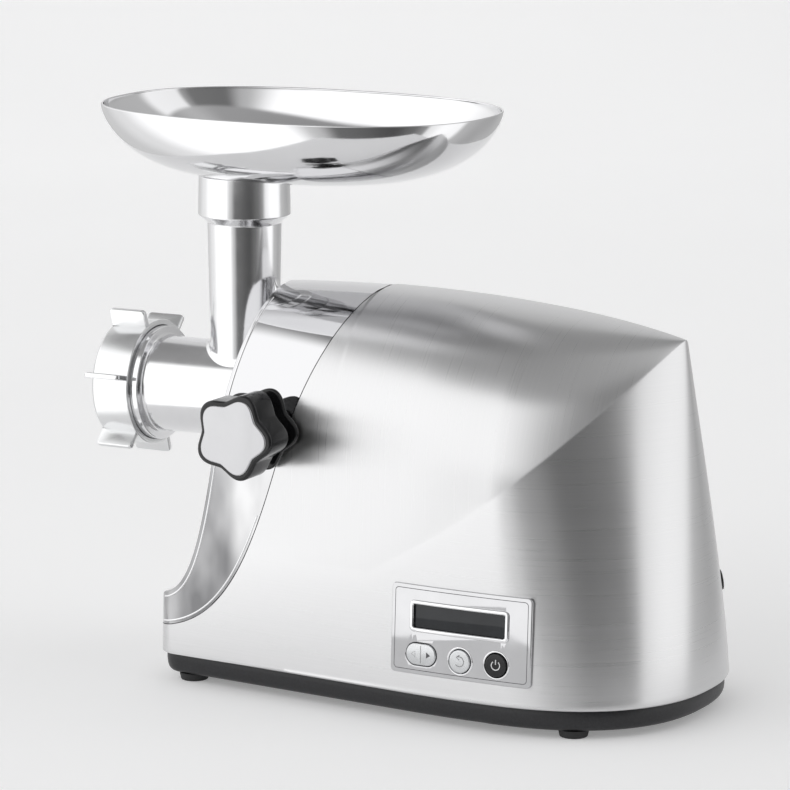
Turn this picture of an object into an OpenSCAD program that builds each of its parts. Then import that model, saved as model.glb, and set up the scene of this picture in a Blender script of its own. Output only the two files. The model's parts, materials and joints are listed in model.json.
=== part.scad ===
// Electric meat grinder: steel motor housing, chrome front cover and a cast head with a hopper tray.
// X runs along the feed screw (the outlet faces -X), the control panel faces -Y, Z = 0 is the table.

/* [Housing] */
// Rear end of the housing at its bottom edge, from the feed tube axis
rear_x = 342.5; // [340:0.5:344]
// Place of the widest point along the housing
wide_x = 232; // [225:1:240]
// Half of the largest width at the bottom edge
half_width = 103.6; // [102:0.1:106]
// Fullness of the rounded rear end in plan at its bottom edge (2 is an ellipse)
rear_fullness = 2.33; // [2.25:0.01:2.5]
// Fullness that the rear end loses from its bottom edge up to its top corner
fullness_loss = 1; // [0.6:0.05:1.1]
// Slope of the flanks in plan towards the front
flank_slope = 0.114; // [0.1:0.002:0.12]
// Front face of the housing
front_x = -27; // [-29:0.5:-24]
// Radius of the two front corners
front_corner = 18; // [14:1:20]
// Height of the steel bottom edge above the table
skirt_z = 19; // [18:0.5:20]
// Rear top corner of the housing, along X
tip_x = 322; // [318:0.5:323]
// Inward lean of the side walls, per mm of height
side_lean = 0.0005; // [0.0003:0.0001:0.0007]
// Highest point of the roof ridge
ridge_top = 264.8; // [262:0.1:267]
// Place of the highest ridge point along X
ridge_x = 110; // [100:1:120]
// Radius of the ridge line seen from the side
ridge_radius = 1150; // [1100:10:1200]
// Height of the roof arch above its spring line
arch_rise = 110; // [105:1:115]
// How far the roof arch bulges beyond the walls where the crease fades out
arch_bulge = 1.8; // [1:0.1:2.5]
// Thickness of the sheet steel
sheet = 1.5; // [1.2:0.1:2]

/* [Head] */
// Height of the feed screw axis
axis_z = 185; // [183:0.5:186]
// Outer radius of the head barrel where it enters the housing
barrel_r = 31.7; // [31:0.1:32]
// Bore radius of the head barrel
barrel_bore = 27.5; // [27:0.1:28]
// Front face of the ring nut
ring_front_x = -96.4; // [-98:0.1:-96]
// Outer radius of the ring nut
ring_r = 42.4; // [42:0.1:43]
// Radius of the grinding plate
plate_r = 31; // [30:0.5:31]
// Bore radius of the feed tube
feed_bore = 21.5; // [20:0.1:21.5]
// Top of the feed tube collar
collar_top = 331; // [329:0.5:332]

/* [Tray] */
// Half length of the tray rim
tray_half_x = 135.3; // [130:0.1:137]
// Half width of the tray rim
tray_half_y = 90.9; // [88:0.1:93]
// Fullness of the tray rim in plan (2 is an ellipse)
tray_fullness = 2.44; // [2.2:0.02:2.6]
// Offset of the tray centre behind the feed tube
tray_shift = 43.1; // [40:0.1:46]
// Height of the tray rim above the table
tray_rim_z = 379.3; // [376:0.1:381]
// Thickness of the tray metal
tray_wall = 1.6; // [1.4:0.1:2]

/* [Knob and panel] */
// Radius of the clamp knob over its lobes
knob_r = 29; // [27:0.5:30]
// Outer face of the knob cap, from the centre plane
knob_face_y = 127.5; // [126:0.1:129]
// Place of the knob axis along X
knob_x = 61.5; // [60:0.5:63]
// Width of the control panel
panel_w = 101.4; // [98:0.1:103]
// Height of the control panel
panel_h = 58; // [56:0.1:60]
// Centre of the control panel along X
panel_x = 212.7; // [210:0.1:215]
// Height of the control panel's centre
panel_z = 62; // [60:0.1:64]

/* [Gears] */
// Pressure angle of the gear teeth
pressure_angle = 20; // [20:0.5:22]
// Teeth on each driving pinion
pinion_teeth = 12; // [12:1:12]
// Module, teeth and face width of the first stage
stage_1 = [0.9, 54, 7];
// Module, teeth and face width of the second stage
stage_2 = [1.1, 42, 8];
// Module, teeth and face width of the last stage
stage_3 = [1.6, 36, 13];

/* [Hidden] */

$fn = 64;

// The origin is at the middle of the whole object's footprint
centre_x = (ring_front_x + rear_x) / 2;
centre_y = (half_width - knob_face_y) / 2;
running_gap = 0.05;
clear_gap = 0.4;

// Heights and places that several parts share
pan_z = 5;
pan_floor = 3;
pan_inset = 2.5;
roof_top = 300;
far = 400;
front_edge_foot = [-20.5, 60];
cover_foot_z = 37;
fade_x = 142;
bulge_end = 230;
bulge_fade = 60;
lean_delay = 100;
crease_foot_z = 94.4;
crease_slope = 0.56;
crease_power = 3.2;
rear_length = rear_x - wide_x;
flank_round = 60;
rear_rise = ridge(tip_x) - skirt_z;
rear_lean = (1 - (tip_x - wide_x) / rear_length) / delayed(rear_rise);

// Gear train places: [y, z] of each axis
stage_2_distance = stage_2[0] * (pinion_teeth + stage_2[1]) / 2;
stage_1_distance = stage_1[0] * (pinion_teeth + stage_1[1]) / 2;
stage_3_distance = stage_3[0] * (pinion_teeth + stage_3[1]) / 2;
first_y = 20;
second_z = axis_z - stage_3_distance;
first_z = second_z - sqrt(pow(stage_2_distance, 2) - pow(first_y, 2));
motor_z = first_z - sqrt(pow(stage_1_distance, 2) - pow(first_y, 2));
gearbox_x = 84;
gearbox_end = 136;
stage_3_x = 97.5;
stage_2_x = 113;
stage_1_x = 123.5;
axle_r = 4;
shaft_r = 4;
drive_r = 12;
square_drive = 10;

// Knob, panel and reset button places
knob_z = 180.5;
screw_r = 5;
screw_tip_y = 37;
cap_depth = 3;
knob_depth = 25;
panel_turn = 1.8;
panel_tilt = 2.9;
panel_y = 101;
bezel_depth = 4;
pivot_r = 1;
rocker_at = [23, 44.7];
reverse_at = [51.7, 45.6];
power_at = [77.5, 45.1];
reset_z = 78;
reset_angle = 57;
inlet_z = 34;
inlet_angle = 38;
feet = [[-4, -64], [283, -80], [-4, 64], [283, 80]];

// ---------- shape functions ----------

// Power that keeps the sign of its base
function signed_pow(v, p) = sign(v) * pow(abs(v), p);

// Point of a superellipse at angle t
function super_point(a, b, n, t) = [a * signed_pow(cos(t), 2 / n), b * signed_pow(sin(t), 2 / n)];

// Point of a cubic Bezier curve
function bezier(p, t) = pow(1 - t, 3) * p[0] + 3 * pow(1 - t, 2) * t * p[1]
    + 3 * (1 - t) * t * t * p[2] + pow(t, 3) * p[3];

// Height of the roof ridge above the table
function ridge(x) = ridge_top - pow(x - ridge_x, 2) / (2 * ridge_radius);

// Loss of half width at a distance q in front of the widest point
function flank_drop(q) = q < flank_round ? flank_slope * q * q / (2 * flank_round)
    : flank_slope * (q - flank_round / 2);

// Grows slowly at first, so that the rear wall starts out upright
function delayed(w) = w * abs(w) / (abs(w) + lean_delay);

// Length and fullness of the rear end in plan, and the share of the width left, at height z
function rear_reach(z) = rear_length * (1 - rear_lean * delayed(z - skirt_z));
function fullness(z) = rear_fullness - fullness_loss * (z - skirt_z) / rear_rise;
function lean(z) = 1 - side_lean * (z - skirt_z);

// Half width of the flanks at the bottom edge, in front of the widest point
function base_half(x) = half_width - flank_drop(wide_x - x);

// Half width of the wall at height z
function wall_half(x, z) = lean(z) * (x > wide_x
    ? half_width * pow(max(0, 1 - pow((x - wide_x) / rear_reach(z), fullness(z))), 1 / fullness(z))
    : base_half(x));

// Point of the rear wall at height z; the angle runs from the widest point to the tip
function rear_point(angle, z, inset = 0) = let(p = super_point(rear_reach(z) - inset,
        half_width - inset, fullness(z), 90 - angle)) [wide_x + p[0], p[1] * lean(z)];

// Height of the crease between the wall and the roof
function crease_z(x) = x < fade_x ? crease_foot_z : crease_foot_z + crease_slope * (x - fade_x)
    + (ridge(tip_x) - crease_foot_z - crease_slope * (tip_x - fade_x))
    * pow((x - fade_x) / (tip_x - fade_x), crease_power);

// Half width of the roof arch at its spring line, where the crease lies below it
function arch_width(x) = wall_half(x, ridge(x) - arch_rise)
    + arch_bulge * ease(x / fade_x) * ease((bulge_end - x) / bulge_fade);

// Goes smoothly from 0 to 1
function ease(t) = let(u = min(1, max(0, t))) u * u * (3 - 2 * u);

// Outline of the housing in plan, moved in by inset and scaled for height z
function plan_half(inset, z) = let(
        fc = base_half(front_x + front_corner) - front_corner,
        rc = max(1, front_corner - inset),
        corner = [for (t = [0 : 15 : 75]) [front_x + front_corner - rc * cos(t), fc + rc * sin(t)]],
        flank = [for (k = [0 : 7]) let(x = front_x + front_corner + 4
            + k * (wide_x - front_x - front_corner - 12) / 7) [x, base_half(x) - inset]],
        rear = [for (t = [0 : 5 : 90]) rear_point(t, z, inset)]
    ) concat([for (p = concat(corner, flank)) [p[0], p[1] * lean(z)]], rear);

function plan_outline(inset, z) = let(half = plan_half(inset, z), n = len(half)) concat(
    [for (p = half) [p[0], -p[1]]], [for (k = [n - 2 : -1 : 0]) half[k]]);

// Cross section of the roof at x, moved in by inset, as [y, z] points of the -Y side
roof_steps = 10;
function roof_half(x, inset) = let(
        c = ridge(x) - arch_rise,
        zc = min(crease_z(x), ridge(x) - 0.02),
        yc = max(0.5, wall_half(x, zc)),
        start = zc > c ? asin((zc - c) / arch_rise) : 0,
        a = zc > c ? yc / cos(start) : arch_width(x)
    ) concat([[far, -50], [far, zc - inset], [yc - inset, zc - inset]],
        [for (k = [1 : roof_steps]) let(t = start + (90 - start) * k / roof_steps)
            [max(0, (a - inset) * cos(t)), c + (arch_rise - inset) * sin(t)]]);

// Side view of the edge between chrome and steel, and of the front edge of the chrome
steel_edge = [[111, 268], [72, 160], [54, 38], [front_x - 4, cover_foot_z]];
front_edge = [[36.3, 268], [14, 140], [11, 65], front_edge_foot];

// ---------- shared shapes ----------

// Moves a part from the feed tube frame to the object's own frame
module piece(c) {
    color(c) translate([-centre_x, -centre_y, 0]) children();
}

// Turns a flat drawing so that its X, Y and height lie along Y, Z and X
module facing_x(x, y = 0, z = 0) {
    translate([x, y, z]) rotate([90, 0, 90]) children();
}

module tube(h, r_out, r_in) {
    difference() {
        cylinder(h = h, r = r_out);
        translate([0, 0, -1]) cylinder(h = h + 2, r = r_in);
    }
}

// Solid between rings of points, each ring anticlockwise seen from the last ring's side
module loft(rings) {
    n = len(rings[0]);
    m = len(rings);
    points = [for (r = rings) for (p = r) p];
    sides = [for (k = [0 : m - 2]) for (i = [0 : n - 1]) for (f = [0, 1])
        let(a = k * n + i, b = k * n + (i + 1) % n)
        f == 0 ? [a, b + n, b] : [a, a + n, b + n]];
    bottom = [[for (i = [0 : n - 1]) i]];
    top = [[for (i = [n - 1 : -1 : 0]) (m - 1) * n + i]];
    polyhedron(points, concat(sides, bottom, top), convexity = 10);
}

// Space inside the walls, between two heights
module wall_block(inset, z0, z1) {
    steps = z1 - z0 > 100 ? 7 : 1;
    loft([for (k = [0 : steps]) let(z = z0 + (z1 - z0) * k / steps)
        [for (p = plan_outline(inset, z)) [p[0], p[1], z]]]);
}

// Space under the roof
module roof_block(inset) {
    stations = concat([-40], [for (k = [0 : 18]) -15 + k * (tip_x + 14.5) / 18], [rear_x + 5]);
    loft([for (x = stations) let(s = roof_half(min(x, tip_x - 0.5), inset), n = len(s))
        concat([for (p = s) [x, p[0], p[1]]], [for (k = [n - 2 : -1 : 0]) [x, -s[k][0], s[k][1]]])]);
}

module housing_block(inset, z0 = skirt_z) {
    intersection() {
        wall_block(inset, z0, roof_top);
        roof_block(inset);
    }
}

// Side view of what lies in front of the steel edge, shifted back by d
module before_steel(d = 0) {
    edge = [for (k = [0 : 16]) bezier(steel_edge, k / 16)];
    side_plate(concat([for (p = edge) [p[0] + d, p[1] + (p[1] < 60 ? -d : 0)]],
        [[-far, cover_foot_z - d], [-far, roof_top], [111 + d, roof_top]]));
}

// Side view of what lies in front of the chrome's front edge, shifted back by d
module before_front(d = 0) {
    edge = [for (k = [0 : 12]) bezier(front_edge, k / 12)];
    side_plate(concat([for (p = edge) [p[0] + d, p[1]]],
        [[-far, front_edge_foot[1]], [-far, roof_top], [front_edge[0][0] + d, roof_top]]));
}

// Extrudes a side view along Y through the whole object
module side_plate(points) {
    translate([0, far / 2, 0]) rotate([90, 0, 0]) linear_extrude(far) polygon(points);
}

// Marks a shell that is kept as one mesh
module one_shell() {
    resize([0, 0, 0]) children();
}

// Rounded rectangle of true arcs, with its lower left corner at the origin
module round_rect(w, h, r) {
    translate([r, 0]) square([w - 2 * r, h]);
    translate([0, r]) square([w, h - 2 * r]);
    for (x = [r, w - r]) for (y = [r, h - r]) translate([x, y]) circle(r);
}

// Oval with round ends, centred
module oval(w, h) {
    square([w - h, h], center = true);
    for (s = [-1, 1]) translate([s * (w - h) / 2, 0]) circle(h / 2);
}

// Panel frame: X to the right from the panel's left edge, Y up from its lower edge, Z out of its face
module on_panel() {
    translate([panel_x, -panel_y, panel_z]) rotate([-panel_tilt, 0, -panel_turn]) rotate([90, 0, 0])
        translate([-panel_w / 2, -panel_h / 2, 0]) children();
}

// A place on the rear wall, with X out of the wall
module on_rear_wall(angle, z) {
    translate(concat(rear_point(angle, z), z)) rotate([0, 0, rear_normal(angle, z)])
        rotate([0, -rear_tilt(angle, z), 0]) children();
}

// Direction that the rear wall faces at a place, in plan
function rear_normal(angle, z) = let(d = rear_point(angle + 1, z) - rear_point(angle - 1, z))
    atan2(d[0], -d[1]);

// How far the rear wall leans in at a place, in degrees
function rear_tilt(angle, z) = let(d = rear_point(angle, z) - rear_point(angle, z + 1),
        turn = rear_normal(angle, z)) atan(d[0] * cos(turn) + d[1] * sin(turn));

// Pan head screw with its head at z = 0 and its shank upwards
module screw(length, r = 2) {
    difference() {
        union() {
            cylinder(h = r, r = 1.9 * r);
            cylinder(h = length, r = r);
        }
        for (a = [0, 90]) rotate(a) translate([-1.3 * r, -0.25 * r, -0.1]) cube([2.6 * r, 0.5 * r, 0.6 * r]);
    }
}

// ---------- gears ----------

// Backlash: what each tooth flank gives up, in degrees times the number of teeth
tooth_thinning = 8;

function involute_angle(r, base) = r <= base ? 0
    : sqrt(pow(r / base, 2) - 1) * 180 / PI - acos(base / r);

// Outline of a spur gear with one tooth centred on +X
module gear_outline(m, teeth) {
    pitch = m * teeth / 2;
    base = pitch * cos(pressure_angle);
    root = pitch - 1.2 * m;
    tip = pitch + 0.85 * m;
    half = (90 - tooth_thinning) / teeth + involute_angle(pitch, base);
    flank = [for (k = [0 : 3]) let(r = max(base, root) + (tip - max(base, root)) * k / 3)
        [r, half - involute_angle(r, base)]];
    tooth = concat([[root, half + 0.2]], flank);
    polygon([for (i = [0 : teeth - 1]) for (s = [-1, 1]) for (k = [0 : 4])
        let(p = tooth[s < 0 ? k : 4 - k], t = i * 360 / teeth + s * p[1]) p[0] * [cos(t), sin(t)]]);
}

module gear(m, teeth, width, turn = 0) {
    rotate(turn) linear_extrude(width) gear_outline(m, teeth);
}

// Outline of the gearbox in the Y-Z plane, moved in by d
module gearbox_outline(d = 0) {
    hull() {
        translate([0, axis_z]) circle(35 - d);
        translate([first_y, first_z]) circle(31 - d);
        translate([-10, second_z]) circle(30 - d);
        translate([0, motor_z]) circle(20 - d);
    }
}

// ---------- housing ----------

// Hole in the side wall for the clamp screw's boss
module clamp_hole() {
    translate([knob_x, -60, knob_z]) rotate([90, 0, 0]) cylinder(h = 60, r = 11);
}

module housing_shell() piece("silver") one_shell() difference() {
    housing_block(0);
    housing_block(sheet, skirt_z - 1);
    before_steel();
    clamp_hole();
    on_panel() translate([-0.3, -0.3, -20]) cube([panel_w + 0.6, panel_h + 0.6, 40]);
    on_rear_wall(reset_angle, reset_z) rotate([0, 90, 0]) cylinder(h = 40, r = 5, center = true);
    on_rear_wall(inlet_angle, inlet_z) rotate([0, 90, 0]) cylinder(h = 40, r = 8, center = true);
}

module front_cover() piece("gainsboro") one_shell() difference() {
    intersection() {
        housing_block(0, cover_foot_z);
        before_steel(-0.3);
    }
    difference() {
        housing_block(2, cover_foot_z - 1);
        before_front(2.5);
    }
    before_front();
    facing_x(-60, 0, axis_z) cylinder(h = 200, r = 40.4);
    clamp_hole();
}

module base_pan() piece("#202022") one_shell() difference() {
    union() {
        loft([for (k = [[9, pan_z], [5, pan_z + 1.2], [3.2, pan_z + 4], [pan_inset, pan_z + 8],
            [pan_inset, skirt_z]]) [for (p = plan_outline(k[0], skirt_z)) [p[0], p[1], k[1]]]]);
        wall_block(sheet + 0.4, skirt_z, skirt_z + 4);
    }
    loft([for (k = [[12, pan_z + pan_floor], [6, pan_z + 7], [6, skirt_z + 5]])
        [for (p = plan_outline(k[0], skirt_z)) [p[0], p[1], k[1]]]]);
    for (x = [120 : 9 : 210]) translate([x, -35, 0]) cube([4, 70, 12]);
    for (f = feet) translate([f[0], f[1], 0]) cylinder(h = 10, r = 2.6, $fn = 24);
}

module rubber_feet() piece("#2b2b2b") for (f = feet) translate([f[0], f[1], 0]) difference() {
    cylinder(h = pan_z, r1 = 9, r2 = 10);
    translate([0, 0, -1]) cylinder(h = 5.4, r = 4.6);
    cylinder(h = 10, r = 2.4);
}

module foot_screws() piece("gray") for (f = feet) translate([f[0], f[1], 2.2]) screw(12, 2.1);

base_screw_places = [[25, -50], [25, 50], [150, -76], [150, 76], [262, -81], [262, 81]];

module base_screws() piece("dimgray") for (p = base_screw_places)
    translate([p[0], p[1], pan_z + pan_floor]) difference() {
        union() {
            cylinder(h = 14, r = 5);
            translate([0, 0, 0]) cylinder(h = 2, r = 7);
        }
        translate([0, 0, -1]) cylinder(h = 12, r = 1.6);
    }

module cord_inlet() piece("#222222") on_rear_wall(inlet_angle, inlet_z) rotate([0, 90, 0]) difference() {
    union() {
        translate([0, 0, 0.5]) cylinder(h = 2, r = 10.5);
        translate([0, 0, -10]) cylinder(h = 11, r = 7.6);
        translate([0, 0, -12]) cylinder(h = 8, r = 9.5);
    }
    translate([0, 0, -20]) cylinder(h = 40, r = 4.2);
}

module reset_bezel() piece("#303030") on_rear_wall(reset_angle, reset_z) rotate([0, 90, 0]) difference() {
    union() {
        translate([0, 0, 0.4]) cylinder(h = 1.4, r = 6.8);
        translate([0, 0, -14]) cylinder(h = 15, r = 4.8);
    }
    translate([0, 0, -12]) cylinder(h = 20, r = 3.6);
}

module reset_button() piece("#111111") on_rear_wall(reset_angle, reset_z) rotate([0, 90, 0]) {
    translate([0, 0, -8]) cylinder(h = 10.2, r = 3.55);
}

// ---------- control panel ----------

module control_bezel() piece("whitesmoke") on_panel() difference() {
    translate([0, 0, -bezel_depth]) linear_extrude(bezel_depth) round_rect(panel_w, panel_h, 3);
    translate([17, panel_h - 27.5, -20]) cube([66, 15, 40]);
    translate([rocker_at[0], panel_h - rocker_at[1], -20]) linear_extrude(40) oval(22.8, 14.8);
    translate([rocker_at[0], panel_h - rocker_at[1], -2]) rotate([90, 0, 0])
        cylinder(h = 17, r = pivot_r + running_gap, center = true);
    translate([reverse_at[0], panel_h - reverse_at[1], -20]) cylinder(h = 40, r = 7.8);
    translate([power_at[0], panel_h - power_at[1], -20]) cylinder(h = 40, r = 7.8);
}

module display_window() piece("#22262a") on_panel() {
    translate([17.1, panel_h - 27.4, -2.6]) cube([65.8, 14.8, 1.8]);
    translate([15, panel_h - 29.4, -bezel_depth - 1.2]) cube([70, 18.8, 1.2]);
}

module display_module() piece("#5d6f58") on_panel() {
    translate([14, panel_h - 30.4, -bezel_depth - 5]) cube([72, 20.8, 3.6]);
}

module control_board() piece("#1d5b35") on_panel() {
    translate([5, 5, -14.6]) cube([panel_w - 10, panel_h - 10, 1.6]);
    for (p = [rocker_at + [-5, 0], rocker_at + [5, 0], reverse_at, power_at])
        translate([p[0] - 3, panel_h - p[1] - 3, -13]) cube([6, 6, 3.6]);
    translate([60, 10, -17]) cube([20, 8, 2.4]);
    for (x = [20, 76]) translate([x, panel_h - 20, -13]) cylinder(h = 3.8, r = 1.5);
}

module speed_rocker() piece("white") on_panel() translate([rocker_at[0], panel_h - rocker_at[1], 0]) {
    translate([0, 0, -3.4]) linear_extrude(4) oval(22, 14);
    translate([0, 0, -2]) rotate([90, 0, 0]) cylinder(h = 16, r = pivot_r, center = true);
}

module push_button(at) {
    on_panel() translate([at[0], panel_h - at[1], 0]) {
        translate([0, 0, -3.6]) cylinder(h = 4.8, r = 7.45);
        translate([0, 0, -7.4]) cylinder(h = 3.8, r = 2.5);
    }
}

module reverse_button() piece("lightgray") push_button(reverse_at);

module power_button() piece("#1b1b1b") push_button(power_at);

// ---------- clamp ----------

module head_socket() piece("lightgray") difference() {
    union() {
        facing_x(27, 0, axis_z) cylinder(h = gearbox_x - 27, r = 40);
        facing_x(gearbox_x - 6, 0, axis_z) cylinder(h = 6, r = 52);
        translate([knob_x, -35, knob_z]) rotate([90, 0, 0]) cylinder(h = 37, r = 10.6);
    }
    facing_x(0, 0, axis_z) cylinder(h = 120, r = barrel_r + clear_gap);
    translate([knob_x, -20, knob_z]) rotate([90, 0, 0]) cylinder(h = 60, r = screw_r + running_gap);
    for (a = [45 : 90 : 315]) facing_x(70, 46 * cos(a), axis_z + 46 * sin(a)) cylinder(h = 20, r = 2.1);
}

module socket_screws() piece("gray") for (a = [45 : 90 : 315])
    facing_x(gearbox_x - 8, 46 * cos(a), axis_z + 46 * sin(a)) screw(8, 2);

module knob_collar() piece("#161616") translate([knob_x, 0, knob_z]) rotate([90, 0, 0]) difference() {
    union() {
        translate([0, 0, 83]) cylinder(h = 8, r1 = 16, r2 = 14);
        translate([0, 0, 72.1]) cylinder(h = 11, r = 10.6);
        translate([0, 0, 87]) mirror([0, 1, 0]) linear_extrude(4) star(knob_r - 1);
    }
    translate([0, 0, 70]) cylinder(h = 30, r = screw_r + 0.5);
}

module clamp_pad() piece("#b5903c") translate([knob_x, -32.4, knob_z]) rotate([90, 0, 0])
    cylinder(h = screw_tip_y - 32.4, r = 4.6);

module clamp_screw() piece("gray") translate([knob_x, -screw_tip_y, knob_z]) rotate([90, 0, 0]) {
    cylinder(h = knob_face_y - screw_tip_y - 12, r = screw_r);
    translate([0, 0, knob_face_y - screw_tip_y - 22]) cylinder(h = 8, r = 9, $fn = 6);
}

// Star outline with five lobes and small bulges in the valleys
module star(r) {
    polygon([for (t = [0 : 3 : 357]) let(w = (1 + cos(5 * (t - 5))) / 2)
        r * (0.77 + 0.23 * pow(w, 0.8) + 0.03 * pow(1 - w, 4)) * [cos(t), sin(t)]]);
}

module knob_body() piece("#141414") translate([knob_x, -knob_face_y, knob_z]) rotate([-90, 0, 0])
    difference() {
    union() {
        translate([0, 0, cap_depth]) linear_extrude(knob_depth - cap_depth) star(knob_r);
        translate([0, 0, knob_depth]) cylinder(h = 5, r1 = 17, r2 = 13);
    }
    translate([0, 0, 12]) cylinder(h = 40, r = screw_r);
    translate([0, 0, 14]) cylinder(h = 8, r = 9, $fn = 6);
}

module knob_cap() piece("gainsboro") translate([knob_x, -knob_face_y, knob_z]) rotate([-90, 0, 0]) {
    linear_extrude(cap_depth) star(knob_r - 2.2);
}

// ---------- gearbox ----------

module gearbox_case() piece("darkgray") difference() {
    facing_x(gearbox_x) linear_extrude(gearbox_end - 4 - gearbox_x) gearbox_outline();
    facing_x(gearbox_x + 5) linear_extrude(60) gearbox_outline(3);
    facing_x(gearbox_x - 5, 0, axis_z) cylinder(h = 20, r = 16);
    facing_x(gearbox_x - 5, 0, second_z) cylinder(h = 20, r = axle_r);
    facing_x(gearbox_x - 5, first_y, first_z) cylinder(h = 20, r = axle_r);
    for (a = [45 : 90 : 315]) facing_x(gearbox_x - 1, 46 * cos(a), axis_z + 46 * sin(a))
        cylinder(h = 3, r = 2);
}

module gearbox_cover() piece("gray") difference() {
    facing_x(gearbox_end - 4) linear_extrude(4) gearbox_outline();
    facing_x(gearbox_end - 6, 0, motor_z) cylinder(h = 10, r = 8);
    facing_x(gearbox_end - 6, 0, axis_z) cylinder(h = 10, r = 9);
    facing_x(gearbox_end - 6, 0, second_z) cylinder(h = 10, r = axle_r);
    facing_x(gearbox_end - 6, first_y, first_z) cylinder(h = 10, r = axle_r);
}

gearbox_screw_places = [[-24, 207], [24, 207], [-25, 112], [30, 100]];

module gearbox_screws() piece("dimgray") for (p = gearbox_screw_places)
    facing_x(gearbox_end, p[0], p[1]) rotate([0, 180, 0]) translate([0, 0, -2]) difference() {
        cylinder(h = 2, r = 3.8);
        translate([-3, -0.5, -0.1]) cube([6, 1, 1.2]);
    }

module gear_axles() piece("silver") {
    facing_x(gearbox_x, 0, second_z) cylinder(h = gearbox_end - gearbox_x, r = axle_r);
    facing_x(gearbox_x, first_y, first_z) cylinder(h = gearbox_end - gearbox_x, r = axle_r);
}

module gear_bushes() piece("#b08d57") {
    facing_x(gearbox_x, 0, axis_z) tube(10, 16, drive_r + running_gap);
    facing_x(gearbox_end - 6, 0, axis_z) tube(6, 9, 7 + running_gap);
    facing_x(gearbox_end - 4, 0, motor_z) tube(4, 8, shaft_r + running_gap);
}

module first_gear() piece("ivory") difference() {
    union() {
        facing_x(stage_1_x, first_y, first_z)
            gear(stage_1[0], stage_1[1], stage_1[2], mesh_turn(motor_place, first_place, stage_1[1]));
        facing_x(stage_2_x - 0.5, first_y, first_z)
            gear(stage_2[0], pinion_teeth, stage_1_x - stage_2_x + 0.5,
                direction(first_place, second_place));
    }
    facing_x(0, first_y, first_z) cylinder(h = 200, r = axle_r + running_gap);
}

module second_gear() piece("silver") difference() {
    union() {
        facing_x(stage_2_x + 0.5, 0, second_z)
            gear(stage_2[0], stage_2[1], stage_2[2], mesh_turn(first_place, second_place, stage_2[1]));
        facing_x(stage_3_x, 0, second_z)
            gear(stage_3[0], pinion_teeth, stage_2_x - stage_3_x + 0.5,
                direction(second_place, output_place));
    }
    facing_x(0, 0, second_z) cylinder(h = 200, r = axle_r + running_gap);
}

motor_place = [0, motor_z];
first_place = [first_y, first_z];
second_place = [0, second_z];
output_place = [0, axis_z];

// Direction from one gear axis to the next, and the turn that puts a tooth gap on it
function direction(a, b) = atan2(b[1] - a[1], b[0] - a[0]);
function mesh_turn(from, to, teeth) = direction(to, from) + 180 / teeth;

module output_gear() piece("silver") difference() {
    facing_x(stage_3_x + 1, 0, axis_z)
        gear(stage_3[0], stage_3[1], stage_3[2], mesh_turn(second_place, output_place, stage_3[1]));
    facing_x(0, 0, axis_z) cylinder(h = 200, r = drive_r);
}

module drive_shaft() piece("gray") difference() {
    union() {
        facing_x(gearbox_x - 2, 0, axis_z) cylinder(h = 32, r = drive_r);
        facing_x(gearbox_x + 30, 0, axis_z) cylinder(h = gearbox_end - gearbox_x - 30, r = 7);
    }
    facing_x(gearbox_x - 5, -square_drive / 2 - 0.2, axis_z - square_drive / 2 - 0.2)
        cube([square_drive + 0.4, square_drive + 0.4, 18]);
}

// ---------- motor ----------

stator_x = 164;
stator_l = 48;
stator_r = 39;
rotor_r = 24.4;
front_plate_x = 141;
rear_plate_x = 254;

module motor_stator() piece("#8a8f94") facing_x(stator_x, 0, motor_z) linear_extrude(stator_l) difference() {
    intersection() {
        circle(stator_r);
        square([74, 66], center = true);
    }
    circle(rotor_r + 0.7);
    for (s = [-1, 1]) translate([s * 32.4, 0]) square([6, 24], center = true);
}

module field_coils() piece("#a4562a") for (s = [-1, 1]) {
    facing_x(stator_x - 3, s * 32.4, motor_z) translate([-2.6, -11, 0]) cube([5.2, 22, stator_l + 6]);
    for (x = [stator_x - 9, stator_x + stator_l + 1]) facing_x(x, s * 29, motor_z)
        translate([s > 0 ? -1.5 : -0.7, -11, 0]) cube([2.2, 22, 8]);
}

module motor_end_plate(x) {
    facing_x(x, 0, motor_z) difference() {
        linear_extrude(4) difference() {
            hull() for (s = [-1, 1]) translate([s * 30, 0]) circle(10);
            circle(9);
            for (s = [-1, 1]) translate([s * 34.5, 0]) circle(2.1);
        }
    }
}

module motor_end_plates() piece("darkgray") {
    motor_end_plate(front_plate_x);
    motor_end_plate(rear_plate_x);
}

module motor_bolts() piece("gray") for (s = [-1, 1]) {
    facing_x(front_plate_x - 1, s * 34.5, motor_z) {
        cylinder(h = 20, r = 2);
        translate([0, 0, -2]) cylinder(h = 3, r = 3.6, $fn = 6);
    }
    facing_x(stator_x + stator_l + 10.5, s * 34.5, motor_z)
        cylinder(h = rear_plate_x - stator_x - stator_l - 6.5, r = 2);
}

module motor_bearings() piece("silver") for (x = [front_plate_x, rear_plate_x])
    facing_x(x, 0, motor_z) tube(4, 9, shaft_r + running_gap);

module brush_holders() piece("#3a3a3a") for (s = [-1, 1]) facing_x(231, 0, motor_z) {
    translate([s > 0 ? 13.2 : -27.2, -4, 0]) cube([14, 8, 9]);
}

module motor_cradle() piece("#2e3033") for (x = [stator_x + 4, stator_x + stator_l - 14]) difference() {
    translate([x, -36, pan_z + pan_floor]) cube([10, 72, motor_z - 20 - pan_z - pan_floor]);
    facing_x(x - 1, 0, motor_z) linear_extrude(12) intersection() {
        circle(stator_r + 0.2);
        square([74.4, 66.4], center = true);
    }
}

module rotor_core() piece("#6d6f73") facing_x(stator_x, 0, motor_z) linear_extrude(stator_l) difference() {
    circle(rotor_r);
    circle(shaft_r);
    for (a = [0 : 30 : 330]) rotate(a) translate([rotor_r - 5, -1.2]) square([6, 2.4]);
}

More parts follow.
